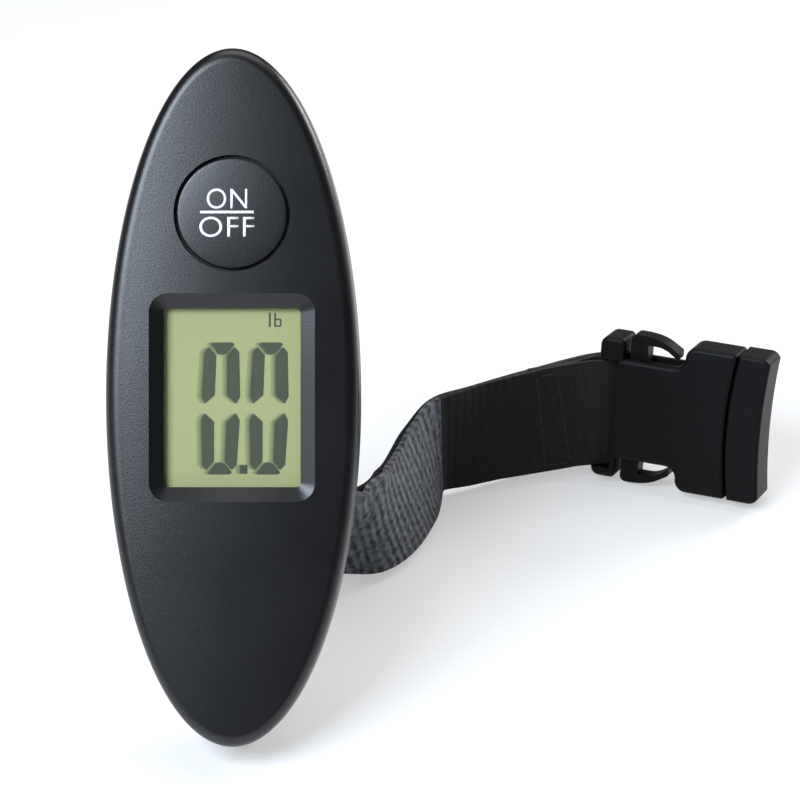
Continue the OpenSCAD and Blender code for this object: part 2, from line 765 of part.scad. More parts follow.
module strap_pin() color(steel) stand() translate([0, pin_y, 0]) {
    cylinder(r = pin_r, h = yoke_len + 2 * fit, center = true);
    for (z = [-1, 1]) translate([0, 0, z * (yoke_len + 2 * fit + pin_head_t) / 2])
        cylinder(r = pin_head_r, h = pin_head_t, center = true);
}

module coin_cell() color(steel) in_the_well() {
    rod(cell_r - 1.2, cell_low, cell_low + cell_step);
    rod(cell_r, cell_low + cell_step, cell_low + cell_t);
}

module negative_contact() color([0.8, 0.7, 0.4]) in_the_well()
    slab(contact_w, cell_d - 5, contact_low, cell_low);

// A foot under the cell's rim and a thin leaf up its side
module positive_contact() color([0.8, 0.7, 0.4]) in_the_well() {
    slab(contact_w, clear - 2 * fit, contact_low, cell_low + cell_t, z = -(cell_r + clear / 2));
    slab(contact_w, rim_w, contact_low, cell_low + cell_step - fit, z = -(cell_r - rim_w / 2 + clear - fit));
}

// Each wire leaves the board, runs down under the well and rises to its contact
module battery_wires() {
    tints = ["red", "black"];
    for (i = [0, 1]) color(tints[i]) {
        p = wire_ends[i];
        low_y = wire_bend_y * cos(well_tilt) - p.y * sin(well_tilt);
        low_z = cell_z + wire_bend_y * sin(well_tilt) + p.y * cos(well_tilt);
        in_the_well() rod(wire_r, wire_bend_y - wire_r, contact_low, p.x, p.y);
        stand() translate([p.x, low_y, low_z - wire_r])
            cylinder(r = wire_r, h = wire_start_z - low_z + 2 * wire_r);
        stand() rod(wire_r, pcb_back_y, low_y + wire_r, p.x, wire_start_z);
    }
}

module battery_cover() color(case_black) in_the_well() difference() {
    union() {
        rod(cover_r, cover_face - cover_t, cover_face);
        intersection() {
            rod(cover_r + cover_lug, cover_face - cover_t, cover_face - cover_t + cover_lug_t);
            rotate([0, cover_turn, 0]) slab(lug_w, 3 * cover_r, 0, back_peak_y);
        }
    }
    slab(coin_slot_len, coin_slot_w, cover_face - coin_slot_depth, cover_face + past);
    for (x = [-1, 1])
        rod(coin_slot_w / 2, cover_face - coin_slot_depth, cover_face + past, x = x * coin_slot_len / 2);
}

module case_screws() color(steel) stand() case_screw_places()
    screw(case_screw_r - clear / 2, case_head_r, case_head_t, case_seat_y, case_screw_low);

// A smooth run through the rows of a route
function between(a, b, c, d, t) =
    (2 * b + (c - a) * t + (2 * a - 5 * b + 4 * c - d) * t * t + (3 * b - a - 3 * c + d) * t * t * t) / 2;
function smooth(rows) = [
    for (i = [0 : len(rows) - 2], k = [0 : route_steps - 1])
        between(rows[max(i - 1, 0)], rows[i], rows[i + 1], rows[min(i + 2, len(rows) - 1)], k / route_steps),
    rows[len(rows) - 1]
];
function place(r) = [r[0], r[1], r[2]];
function width_way(r) = [r[3], r[4], r[5]];
function unit(v) = v / norm(v);

// The four corners of the webbing at one point of its route
function section(rows, i) =
    let (
        along = unit(place(rows[min(i + 1, len(rows) - 1)]) - place(rows[max(i - 1, 0)])),
        across = unit(width_way(rows[i]) - along * (width_way(rows[i]) * along)) * web_w / 2,
        through = unit(cross(along, across)) * web_t / 2,
        p = place(rows[i])
    )
        [p + across + through, p - across + through, p - across - through, p + across - through];

module webbing(route) {
    rows = smooth(route);
    n = len(rows);
    points = [for (i = [0 : n - 1]) each section(rows, i)];
    sides = [
        for (i = [0 : n - 2], k = [0 : 3])
            let (a = 4 * i + k, b = 4 * i + (k + 1) % 4)
                each [[a, b, b + 4], [a, b + 4, a + 4]]
    ];
    ends = [[2, 1, 0], [3, 2, 0], [4 * n - 4, 4 * n - 3, 4 * n - 2], [4 * n - 4, 4 * n - 2, 4 * n - 1]];
    polyhedron(points, concat(sides, ends));
}

module strap_front_run() color(web_black) stand() webbing(front_route);

module strap_return_run() color(web_black) stand() webbing(return_route);

// Outline of the socket half, without its mouth's hollow end
module socket_outline() {
    difference() {
        union() {
            translate([end_len / 2, 0]) rounded(end_len, 2 * end_half, end_corner_r);
            translate([end_len / 2, -end_half]) square([end_len / 2, 2 * end_half]);
            translate([end_len - 2, -neck_half]) square([socket_len - end_len, 2 * neck_half]);
            translate([socket_len - mouth_len, -mouth_half]) square([mouth_len, 2 * mouth_half]);
        }
        for (side = [-1, 1]) translate([socket_len - mouth_len, side * mouth_half]) difference() {
            square(2 * flare_r, center = true);
            translate([flare_r, -side * flare_r]) circle(flare_r);
        }
        mouth_arc();
    }
    for (side = [-1, 1]) translate([socket_len - mouth_len, side * neck_half]) difference() {
        translate([-flare_r / 2, side * flare_r / 2]) square(flare_r, center = true);
        translate([-flare_r, side * flare_r]) circle(flare_r);
    }
}

// The shallow round hollow of the mouth's edge, shared by the plug half's face
module mouth_arc(grow = 0) {
    r = arc_r(mouth_half, mouth_dip);
    translate([socket_len + r - mouth_dip, 0]) circle(r + grow, $fn = 200);
}

module buckle_socket() color(buckle_black) on_the_buckle() {
    web_bar(bar_mid, 0, bar_r);
    socket_body();
}

module buckle_plug() color(buckle_black) on_the_buckle() {
    web_bar(plug_bar_mid, plug_bar_y, plug_bar_r);
    plug_body();
}

module socket_body() difference() {
    plate(-half_t, half_t) socket_outline();
    plate(-cavity_half_t, cavity_half_t) {
        translate([end_len, -mouth_half + mouth_wall]) square([socket_len, 2 * (mouth_half - mouth_wall)]);
    }
    plate(-half_t - past, half_t + past)
        translate([-past, -web_slot_half])
            square([past + bar_mid + bar_r + web_gap, web_slot_half + web_slot_top]);
}

// The round bar that the webbing folds over, with its ends set into the two rails beside it
module web_bar(x, y, r) {
    translate([x, y, -web_slot_half - past]) cylinder(r = r, h = 2 * (web_slot_half + past));
}

module plug_body() difference() {
    union() {
        plate(-half_t, half_t) difference() {
            translate([(socket_len + plug_end) / 2 - 2, 0]) rounded(plug_len + plug_gap + 4, buckle_w, 2.4);
            difference() {
                translate([0, -mouth_half - past]) square([2 * socket_len, buckle_w + 2 * past]);
                mouth_arc(-plug_gap);
            }
            end_r = arc_r(mouth_half, end_dip);
            translate([plug_end + end_r - end_dip, 0]) circle(end_r, $fn = 200);
        }
        plate(-tongue_half_t, tongue_half_t) {
            translate([arm_root.x - arm_root_r - 1.2, -plug_block_half])
                square([plug_start - arm_root.x + arm_root_r + 2.2, 2 * plug_block_half]);
            translate([tongue_tip_x, -tongue_half_w]) square([plug_start - tongue_tip_x, 2 * tongue_half_w]);
            translate([tongue_tip_x, 0]) circle(tongue_half_w);
        }
    }
    for (side = [-1, 1]) plate(-half_t, half_t) translate([arm_root.x, side * arm_root.y]) {
        circle(arm_root_r + fit);
        translate([-2 * arm_root_r, -side * 0.6]) square([4 * arm_root_r, 2.2 * arm_root_r], center = true);
    }
    plate(-half_t + plate_t, half_t + past) translate([plug_bar_mid - pocket_half, -web_slot_half])
        square([2 * pocket_half, 2 * web_slot_half]);
}

// One springy arm of the plug half, drawn on the upper side: a round root, a slender beam,
// a thumb piece at the tip and a barb that points back to the mouth
module arm_outline() {
    tip = [arm_tip_x + arm_tip_r, arm_tip_half - arm_tip_r];
    translate(arm_root) circle(arm_root_r);
    translate(tip) circle(arm_tip_r);
    thumb_end = arm_tip_x + thumb_len;
    barb = [barb_end_x, arm_tip_half - barb_drop];
    mid_x = (thumb_end + barb.x) / 2;
    polygon([
        [arm_root.x, arm_root.y - arm_beam_t / 2], [arm_root.x, arm_root.y + arm_beam_t / 2],
        [thumb_end, neck_half - arm_beam_t / 2], [thumb_end, arm_tip_half - thumb_t],
        [mid_x, arm_tip_half - thumb_t], [barb.x, barb.y - barb_t], barb,
        [mid_x, arm_tip_half - barb_drop / 4], [thumb_end, arm_tip_half],
        [tip.x, arm_tip_half], [arm_tip_x, tip.y], [arm_tip_x, neck_half - arm_beam_t]
    ]);
}

module buckle_arm(side) color(buckle_black) on_the_buckle()
    plate(-tongue_half_t, tongue_half_t) mirror([0, side < 0 ? 1 : 0]) arm_outline();

front_shell();
rear_shell();
display_lens();
lcd_panel();
lcd_holder();
zebra_strips();
circuit_board();
chip_cover();
board_screws();
on_off_switch();
on_off_plunger();
on_off_button();
unit_switch();
unit_plunger();
unit_button();
load_cell();
strain_gauges();
gauge_wires();
load_cell_screws();
yoke();
yoke_nut();
strap_pin();
coin_cell();
negative_contact();
positive_contact();
battery_wires();
battery_cover();
case_screws();
strap_front_run();
strap_return_run();
buckle_socket();
buckle_plug();
buckle_arm(1);  // buckle_arm_upper
buckle_arm(-1);  // buckle_arm_lower
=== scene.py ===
import math
import bpy
from mathutils import Matrix, Vector


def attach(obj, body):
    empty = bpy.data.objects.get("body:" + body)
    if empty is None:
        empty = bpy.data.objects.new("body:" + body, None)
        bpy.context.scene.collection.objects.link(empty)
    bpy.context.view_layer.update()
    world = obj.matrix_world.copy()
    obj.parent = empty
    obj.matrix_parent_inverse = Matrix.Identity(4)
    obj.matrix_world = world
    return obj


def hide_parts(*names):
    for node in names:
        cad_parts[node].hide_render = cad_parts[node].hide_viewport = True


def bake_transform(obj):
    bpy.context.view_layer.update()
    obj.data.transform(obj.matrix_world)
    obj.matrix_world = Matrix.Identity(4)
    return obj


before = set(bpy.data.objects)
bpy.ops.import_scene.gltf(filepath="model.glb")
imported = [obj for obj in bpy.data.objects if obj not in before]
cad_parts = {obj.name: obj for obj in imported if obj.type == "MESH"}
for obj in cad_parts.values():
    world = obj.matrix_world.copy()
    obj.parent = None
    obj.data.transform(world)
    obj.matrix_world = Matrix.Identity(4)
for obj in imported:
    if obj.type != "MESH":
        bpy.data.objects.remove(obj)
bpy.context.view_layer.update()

# Front shell. The moulded front half of the casing, in black satin plastic with a fine spark grain.
# Its face is gently crowned, with a round hole for the button and a sloping border round the display.
# Four screws from behind hold it to the rear shell.
MM = 0.001
RECLINE = math.radians(30)
CASING = Matrix.Translation(Vector((-48, -23.5, 65.0466)) * MM) @ Matrix.Rotation(-RECLINE, 4, 'X')
HALF_LEN = 72.5
HALF_W = 26.5
FRONT_DEPTH = 10
FACE_CROWN = 1.5
SHOULDER_R = 3
SIDE_DRAFT = 0.3
WALL = 2
PARTING = 0.25
RING_POINTS = 192
CROWN_RINGS = 22
BUTTON_Z = 37.9
BUTTON_HOLE_R = 12
WINDOW = (28.2, 36.9)
WINDOW_R = 1
BORDER = 3
BORDER_FLOOR = 9.3
BORDER_FACE = 10.9
BORDER_ROUND = 0.95


def linear(red, green, blue):
    """A colour written in screen values from 0 to 255, as the shader's linear values."""
    shares = [c / 255 for c in (red, green, blue)]
    return tuple(((s + 0.055) / 1.055) ** 2.4 if s > 0.04 else s / 12.92 for s in shares) + (1,)


class Shade:
    """One socket of a material. Arithmetic adds Math nodes, and add() brings in any other node."""

    def __init__(self, tree, socket=None):
        self.tree = tree
        self.socket = socket

    def add(self, kind, settings=None, sockets=None, out=0):
        node = self.tree.nodes.new(kind)
        for name, value in (settings or {}).items():
            setattr(node, name, value)
        for name, value in (sockets or {}).items():
            if isinstance(value, Shade):
                self.tree.links.new(value.socket, node.inputs[name])
            else:
                node.inputs[name].default_value = value
        return Shade(self.tree, node.outputs[out] if node.outputs else None)

    def math(self, operation, *others):
        sockets = {0: self}
        sockets.update({i + 1: other for i, other in enumerate(others)})
        return self.add("ShaderNodeMath", {"operation": operation}, sockets)

    def __add__(self, other):
        return self.math('ADD', other)

    def __sub__(self, other):
        return self.math('SUBTRACT', other)

    def __rsub__(self, other):
        return self.math('MULTIPLY', -1.0).math('ADD', other)

    def __mul__(self, other):
        return self.math('MULTIPLY', other)

    def mix(self, low, high):
        """A colour between two others, with this value as the share of the second."""
        return self.add("ShaderNodeMix", {"data_type": 'RGBA'}, {0: self, 6: low, 7: high}, out=2)

    def object_place(self):
        return self.add("ShaderNodeTexCoord", out=3)

    def noise(self, place, scale, detail=2.0):
        return self.add("ShaderNodeTexNoise", None, {"Vector": place, "Scale": scale, "Detail": detail})

    def bump(self, height, strength, distance):
        sockets = {"Height": height, "Strength": strength, "Distance": distance}
        return self.add("ShaderNodeBump", None, sockets)

    def surface(self, **sockets):
        named = {name.replace("_", " "): value for name, value in sockets.items()}
        shader = self.add("ShaderNodeBsdfPrincipled", None, named)
        self.add("ShaderNodeOutputMaterial", None, {"Surface": shader})


def new_finish(name):
    material = bpy.data.materials.new(name)
    material.use_nodes = True
    material.node_tree.nodes.clear()
    return material, Shade(material.node_tree)


SPARK_GRAIN = 2600


def moulded_plastic(name, colour, roughness, level=0.5):
    """Injection-moulded plastic: a spark-eroded grain, faint flow clouds and slightly uneven gloss."""
    material, shade = new_finish(name)
    place = shade.object_place()
    clouds = shade.noise(place, 60, 3)
    fine = shade.noise(place, SPARK_GRAIN, 3)
    pale = tuple(min(1, c * 1.25 + 0.001) for c in colour[:3]) + (1,)
    shade.surface(
        Base_Color=clouds.mix(colour, pale),
        Roughness=clouds * 0.08 + fine * 0.06 + (roughness - 0.07),
        Normal=shade.bump(fine, 0.12, 0.0002),
        Specular_IOR_Level=level,
    )
    return material


def only(*objects):
    """Leaves just these objects selected, with the last one active."""
    bpy.ops.object.select_all(action='DESELECT')
    for obj in objects:
        obj.select_set(True)
    bpy.context.view_layer.objects.active = objects[-1]


def settle(obj, matrix):
    """Puts a finished mesh in its place and applies the place, so that the object sits at the origin."""
    only(obj)
    obj.matrix_world = matrix @ obj.matrix_world
    bpy.ops.object.transform_apply(location=True, rotation=True, scale=True)


def apply_modifier(obj, kind, **settings):
    only(obj)
    modifier = obj.modifiers.new(kind.lower(), kind)
    for name, value in settings.items():
        setattr(modifier, name, value)
    bpy.ops.object.modifier_apply(modifier=modifier.name)


def boolean(obj, tool, operation='DIFFERENCE'):
    apply_modifier(obj, 'BOOLEAN', object=tool, operation=operation, solver='EXACT')
    bpy.data.objects.remove(tool)


def dress(obj, material, body, slot, *nodes):
    """Gives a piece its finish, its body and the solids that it stands for. Its slot is not used.

    A piece that bends between two bodies gets no body here.
    """
    obj.data.materials.clear()
    obj.data.materials.append(material)
    if body:
        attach(obj, body)
    if nodes:
        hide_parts(*nodes)


def elliptical_loft(name, rings):
    """Draws an ellipse out ring by ring: each ring is half length, half width and depth along z."""
    bpy.ops.object.select_all(action='DESELECT')
    bpy.ops.mesh.primitive_circle_add(vertices=RING_POINTS, radius=MM, fill_type='NGON')
    loft = bpy.context.object
    loft.name = name
    bpy.ops.object.mode_set(mode='EDIT')
    bpy.ops.mesh.select_all(action='SELECT')
    bpy.ops.transform.resize(value=(rings[0][1], rings[0][0], 1), center_override=(0, 0, 0))
    bpy.ops.transform.translate(value=(0, 0, rings[0][2] * MM))
    bpy.ops.mesh.select_mode(type='EDGE')
    for last, ring in zip(rings, rings[1:]):
        bpy.ops.mesh.extrude_edges_move(TRANSFORM_OT_translate={"value": (0, 0, (ring[2] - last[2]) * MM)})
        bpy.ops.transform.resize(value=(ring[1] / last[1], ring[0] / last[0], 1), center_override=(0, 0, 0))
    bpy.ops.mesh.edge_face_add()
    bpy.ops.mesh.poke()
    bpy.ops.mesh.select_all(action='SELECT')
    bpy.ops.mesh.normals_make_consistent(inside=False)
    bpy.ops.object.mode_set(mode='OBJECT')
    return loft


def shoulder_ring(turn):
    out = SIDE_DRAFT + SHOULDER_R * (1 - math.cos(turn))
    return (HALF_LEN - out, HALF_W - out, FRONT_DEPTH - SHOULDER_R + SHOULDER_R * math.sin(turn))


def crown_ring(share):
    rim = SIDE_DRAFT + SHOULDER_R
    return ((HALF_LEN - rim) * share, (HALF_W - rim) * share, FRONT_DEPTH + FACE_CROWN * (1 - share ** 2))


def rounded_sheet(width, height, radius, depth, steps=10, cuts=0):
    """A flat plate with round corners, centred on x and y, with its edges cut into shorter ones if asked."""
    bpy.ops.object.select_all(action='DESELECT')
    bpy.ops.mesh.primitive_plane_add(size=MM)
    sheet = bpy.context.object
    bpy.ops.object.mode_set(mode='EDIT')
    bpy.ops.mesh.select_all(action='SELECT')
    bpy.ops.transform.resize(value=(width, height, 1), center_override=(0, 0, 0))
    bpy.ops.transform.translate(value=(0, 0, depth * MM))
    bpy.ops.mesh.bevel(offset=radius * MM, offset_type='OFFSET', segments=steps, affect='VERTICES')
    if cuts:
        bpy.ops.mesh.select_mode(type='EDGE')
        bpy.ops.mesh.select_all(action='SELECT')
        bpy.ops.mesh.subdivide(number_cuts=cuts)
    bpy.ops.object.mode_set(mode='OBJECT')
    return sheet


def raised(sheet, height):
    """Draws a flat plate up into a block."""
    only(sheet)
    bpy.ops.object.mode_set(mode='EDIT')
    bpy.ops.mesh.select_all(action='SELECT')
    bpy.ops.mesh.extrude_region_move(TRANSFORM_OT_translate={"value": (0, 0, height * MM)})
    bpy.ops.mesh.select_all(action='SELECT')
    bpy.ops.mesh.normals_make_consistent(inside=False)
    bpy.ops.object.mode_set(mode='OBJECT')
    return sheet


def face_depth(x, z):
    rim = SIDE_DRAFT + SHOULDER_R
    return FRONT_DEPTH + FACE_CROWN * (1 - (x / (HALF_W - rim)) ** 2 - (z / (HALF_LEN - rim)) ** 2)


def sloping_border():
    """The cutter for the border round the display, which slopes from the window up to the crowned face."""
    floor = rounded_sheet(WINDOW[0], WINDOW[1], WINDOW_R, BORDER_FLOOR, cuts=6)
    outer = (WINDOW[0] + 2 * BORDER, WINDOW[1] + 2 * BORDER)
    rim = rounded_sheet(outer[0], outer[1], WINDOW_R + BORDER * BORDER_ROUND, BORDER_FACE, cuts=6)
    for vertex in rim.data.vertices:
        vertex.co.z = face_depth(vertex.co.x / MM, vertex.co.y / MM) * MM
    only(floor, rim)
    bpy.ops.object.join()
    tool = bpy.context.object
    bpy.ops.object.mode_set(mode='EDIT')
    bpy.ops.mesh.select_mode(type='EDGE')
    bpy.ops.mesh.select_all(action='SELECT')
    bpy.ops.mesh.delete(type='ONLY_FACE')
    bpy.ops.mesh.select_all(action='SELECT')
    bpy.ops.mesh.bridge_edge_loops()
    bpy.ops.mesh.select_all(action='DESELECT')
    bpy.ops.object.mode_set(mode='OBJECT')
    above = (BORDER_FLOOR + 0.5) * MM
    for edge in tool.data.edges:
        edge.select = all(tool.data.vertices[i].co.z > above for i in edge.vertices)
    bpy.ops.object.mode_set(mode='EDIT')
    bpy.ops.mesh.extrude_edges_move(TRANSFORM_OT_translate={"value": (0, 0, 4 * MM)})
    bpy.ops.mesh.select_all(action='SELECT')
    bpy.ops.mesh.fill_holes(sides=0)
    bpy.ops.mesh.select_all(action='SELECT')
    bpy.ops.mesh.normals_make_consistent(inside=False)
    bpy.ops.object.mode_set(mode='OBJECT')
    return tool


def round_block(radius, low, high, x=0.0, y=0.0, tilt=0.0):
    """A cylinder along the mould's depth, at a place across and along it."""
    bpy.ops.object.select_all(action='DESELECT')
    bpy.ops.mesh.primitive_cylinder_add(
        vertices=128, radius=radius * MM, depth=(high - low) * MM, location=(0, 0, (low + high) / 2 * MM))
    block = bpy.context.object
    settle(block, Matrix.Translation((x * MM, y * MM, 0)) @ Matrix.Rotation(tilt, 4, 'X'))
    return block


def inner_crown_ring(share):
    half_len, half_w, depth = crown_ring(share)
    return (half_len, half_w, depth - WALL)


def inner_shoulder_ring(turn):
    radius = SHOULDER_R - WALL
    out = SIDE_DRAFT + WALL + radius * (1 - math.cos(turn))
    return (HALF_LEN - out, HALF_W - out, FRONT_DEPTH - SHOULDER_R + radius * math.sin(turn))


front_rings = [inner_crown_ring((i + 1) / CROWN_RINGS) for i in range(CROWN_RINGS)]
front_rings += [inner_shoulder_ring(math.radians(90 - 18 * i)) for i in range(1, 6)]
front_rings += [(HALF_LEN - WALL, HALF_W - WALL, 0)]
front_rings += [(HALF_LEN - PARTING, HALF_W - PARTING, 0), (HALF_LEN, HALF_W, PARTING)]
front_rings += [shoulder_ring(math.radians(10 * i)) for i in range(9)]
front_rings += [crown_ring(1 - i / CROWN_RINGS) for i in range(CROWN_RINGS)]
front_shell = elliptical_loft("front_shell_moulding", front_rings)
LENS = (WINDOW[0] + 3, WINDOW[1] + 3)
LENS_FRONT = 8.5
GLASS_FRONT = 7.5
LENS_PLAY = 0.6
LENS_WALL = 1.9
BUTTON_FLANGE_R = 12.9
BUTTON_SEAT = 8.4
BUTTON_BOSS_TOP = 9.6
THROUGH = (5, 20)
FACE_TURN = Matrix.Rotation(math.pi / 2, 4, 'X')
lens_boss = rounded_sheet(LENS[0] + 2 * LENS_WALL, LENS[1] + 2 * LENS_WALL, 1, GLASS_FRONT)
boolean(front_shell, raised(lens_boss, 2), 'UNION')
button_boss = round_block(BUTTON_HOLE_R + 2, BUTTON_SEAT, BUTTON_BOSS_TOP, 0, BUTTON_Z)
boolean(front_shell, button_boss, 'UNION')
boolean(front_shell, sloping_border())
boolean(front_shell, raised(rounded_sheet(WINDOW[0], WINDOW[1], WINDOW_R, THROUGH[0]), 5))
lens_seat = rounded_sheet(LENS[0] + LENS_PLAY, LENS[1] + LENS_PLAY, 0.5, LENS_FRONT - 4)
boolean(front_shell, raised(lens_seat, 4))
boolean(front_shell, round_block(BUTTON_HOLE_R, THROUGH[0], THROUGH[1], 0, BUTTON_Z))
settle(front_shell, CASING @ FACE_TURN)
only(front_shell)
bpy.ops.object.shade_smooth_by_angle(angle=math.radians(18))
apply_modifier(front_shell, 'WEIGHTED_NORMAL', weight=100, keep_sharp=True)
casing_black = moulded_plastic("casing_black_plastic", linear(8, 8, 9), 0.35, level=0.55)
dress(front_shell, casing_black, "housing", "casing", "front_shell")

# Display. A clear lens is held in the window, with a grey-green liquid crystal glass behind it.
# The segments are printed dark on the glass, and a pale painted shadow of each, in a near and a far step,
# lies a little to its left.
LENS_GAP = 0.08
DIGIT_LEFTS = (-6.85, 3.15)
DIGIT_TOP = 11.4
DIGIT_W = 8.15
DIGIT_H = 27.3
DIGIT_SLANT = 0.022
SEGMENT_Y = -7.55
# Painted shadows of the segments: each a shift to the left and a depth behind them.
SHADOWS = ((0.45, 0.015), (0.95, 0.03))
lens_clear, shade = new_finish("clear_lens")
lens_scuff = shade.noise(shade.object_place(), 900, 2)
shade.surface(
    Base_Color=(0.12, 0.14, 0.1, 1),
    Roughness=lens_scuff * 0.05 + 0.06,
    Alpha=lens_scuff * 0.02 + 0.05,
)
lens_back = GLASS_FRONT + LENS_GAP
display_lens = raised(rounded_sheet(LENS[0], LENS[1], 1, lens_back), LENS_FRONT - lens_back)
display_lens.name = "display_lens_clear"
apply_modifier(display_lens, 'BEVEL', width=0.15 * MM, segments=2, limit_method='ANGLE')
settle(display_lens, CASING @ FACE_TURN)
dress(display_lens, lens_clear, "housing", "lens", "display_lens")
lcd_green, shade = new_finish("liquid_crystal_green")
mottle = shade.noise(shade.object_place(), 1600, 3)
shade.surface(
    Base_Color=mottle.mix(linear(163, 166, 110), linear(169, 172, 116)),
    Roughness=mottle * 0.05 + 0.5,
)


def coat(material, *nodes):
    """Gives its finish to each solid that stays as it is."""
    for node in nodes:
        bpy.data.objects[node].data.materials.clear()
        bpy.data.objects[node].data.materials.append(material)


coat(lcd_green, "lcd_panel")
side_upper = [(1.45, 0.9), (3.0, 2.7), (2.85, 10.9), (0.85, 12.7), (0.05, 11.2), (0.45, 2.0)]
cap_upper = [(1.75, 0.35), (2.3, 0.0), (6.2, 0.0), (6.75, 0.4), (5.2, 2.3), (4.1, 2.6), (3.3, 2.3)]


def digit_outlines(left, top):
    """The six lit segments of a nought, from their upper left ones, as points in x and z."""
    outlines = []
    for mirrored in (False, True):
        for flipped in (False, True):
            shape = [(DIGIT_W - x if mirrored else x, DIGIT_H - y if flipped else y) for x, y in side_upper]
            outlines.append(shape)
    for flipped in (False, True):
        outlines.append([(x, DIGIT_H - y if flipped else y) for x, y in cap_upper])
    return [[(left + x + DIGIT_SLANT * (DIGIT_H - y), top - y) for x, y in shape] for shape in outlines]


def shapes_on_glass(name, outlines, depth, shift=0.0):
    """Thin flat shapes on the display's glass, each from its outline in x and z: the printed segments, or
    their painted shadows.
    """
    pieces = []
    for outline in outlines:
        bpy.ops.object.select_all(action='DESELECT')
        bpy.ops.mesh.primitive_circle_add(vertices=len(outline), radius=MM, fill_type='NGON')
        piece = bpy.context.object
        for vertex, (x, z) in zip(piece.data.vertices, outline):
            vertex.co = Vector((x + shift, depth, z)) * MM
        pieces.append(piece)
    only(*pieces)
    bpy.ops.object.join()
    printed = bpy.context.object
    printed.name = name
    bpy.ops.object.mode_set(mode='EDIT')
    bpy.ops.mesh.select_all(action='SELECT')
    bpy.ops.mesh.extrude_region_move(TRANSFORM_OT_translate={"value": (0, 0.01 * MM, 0)})
    bpy.ops.mesh.select_all(action='SELECT')
    bpy.ops.mesh.normals_make_consistent(inside=False)
    bpy.ops.object.mode_set(mode='OBJECT')
    settle(printed, CASING)
    return printed


def bar(x0, x1, z0, z1):
    return [(x0, z0), (x1, z0), (x1, z1), (x0, z1)]


lit = [outline for left in DIGIT_LEFTS for outline in digit_outlines(left, DIGIT_TOP)]
point = [bar(1.55, 3.1, -15.75, -13.9)]
unit_marks = [bar(7.5, 7.9, 14.6, 17.5), bar(8.6, 9.0, 14.6, 17.5), bar(9.0, 9.9, 16.0, 16.35)]
unit_marks += [bar(9.0, 9.9, 14.6, 14.95), bar(9.75, 10.1, 14.8, 16.2)]
segments = shapes_on_glass("display_segments", lit + point + unit_marks, SEGMENT_Y)
# Two painted shadows: darker green copies of the segments, a little behind them and to the left.
near_shadow, far_shadow = (
    shapes_on_glass("display_segment_shadow", lit + point, SEGMENT_Y + behind, -shift)
    for shift, behind in SHADOWS
)
segment_dark, shade = new_finish("segment_dark")
fade = shade.noise(shade.object_place(), 300, 3)
shade.surface(Base_Color=fade.mix(linear(52, 60, 38), linear(61, 69, 45)), Roughness=fade * 0.05 + 0.45)
dress(segments, segment_dark, "housing", "display")
# Greens of the painted shadows, darker than the glass, the near one darker than the far one.
for shadow, name, tone in ((near_shadow, "near", (108, 116, 76)), (far_shadow, "far", (134, 141, 92))):
    shadow_green, shade = new_finish("segment_shadow_" + name)
    fade = shade.noise(shade.object_place(), 300, 3)
    pale = tuple(c + 6 for c in tone)
    shade.surface(Base_Color=fade.mix(linear(*tone), linear(*pale)), Roughness=fade * 0.05 + 0.5)
    dress(shadow, shadow_green, "housing", "display")

# Display holder, contact strips and circuit board. A moulded frame presses the glass to the front shell,
# two rubber strips carry its contacts, and a green board behind them holds the chip and the switches.
holder_white = moulded_plastic("holder_white_plastic", linear(214, 214, 208), 0.5)
strip_pink = moulded_plastic("contact_rubber", linear(196, 150, 156), 0.7)
chip_black = moulded_plastic("chip_epoxy", linear(20, 20, 20), 0.3)
board_green, shade = new_finish("board_solder_mask")
place = shade.object_place()
traces = shade.add("ShaderNodeTexVoronoi", {"feature": 'DISTANCE_TO_EDGE'}, {"Vector": place, "Scale": 420})
copper = traces.math('LESS_THAN', 0.06)
shade.surface(
    Base_Color=copper.mix(linear(18, 74, 44), linear(40, 104, 62)),
    Roughness=copper * 0.1 + 0.3,
    Normal=shade.bump(copper, 0.2, 0.0001),
)
coat(holder_white, "lcd_holder")
coat(strip_pink, "zebra_strips")
coat(chip_black, "chip_cover", "on_off_plunger", "unit_plunger")
coat(board_green, "circuit_board")


def plain_steel(name, colour, roughness):
    """Drawn or turned metal with fine scratches and uneven polish."""
    material, shade = new_finish(name)
    place = shade.object_place()
    drawn_out = shade.add("ShaderNodeMapping", None, {"Vector": place, "Scale": (3000, 90, 3000)})
    scratch = shade.noise(drawn_out, 1, 3)
    dull = shade.noise(place, 120, 2)
    shade.surface(
        Base_Color=dull.mix(colour, tuple(c * 0.8 for c in colour[:3]) + (1,)),
        Metallic=1.0,
        Roughness=scratch * 0.14 + dull * 0.1 + roughness - 0.1,
        Normal=shade.bump(scratch, 0.15, 0.00005),
    )
    return material


bright_steel = plain_steel("bright_steel", linear(200, 200, 204), 0.3)
coat(bright_steel, "board_screws", "on_off_switch", "unit_switch")

# On-off button. A round black cap with a soft rim and a faintly crowned face, pressed into the casing.
# It sits a little askew in its hole, and its white legend is printed on the face, round a line.
BUTTON_R = 11.4
BUTTON_FACE = 10.71
BUTTON_RIM = 0.45
BUTTON_CROWN = ((1.2, 0.1), (1.6, 0.11), (2.0, 0.105), (2.4, 0.08), (2.2, 0.035))
BUTTON_PLAY = math.radians(-1.2)
LETTER_H = 4.15
LINE_X = -1
LINE_Z = 38.15
LINE_SIZE = (11, 0.5)
bpy.ops.object.select_all(action='DESELECT')
button = round_block(BUTTON_R, GLASS_FRONT, BUTTON_FACE)
button.name = "on_off_button_cap"
for face in button.data.polygons:
    face.select = face.normal.z > 0.9
for edge in button.data.edges:
    edge.select = False
bpy.ops.object.mode_set(mode='EDIT')
bpy.ops.mesh.select_mode(type='FACE')
bpy.ops.mesh.bevel(offset=BUTTON_RIM * MM, segments=6, profile=0.5)
bpy.ops.object.mode_set(mode='OBJECT')
highest = max(face.center.z for face in button.data.polygons)
for face in button.data.polygons:
    face.select = face.center.z > highest - 1e-6
bpy.ops.object.mode_set(mode='EDIT')
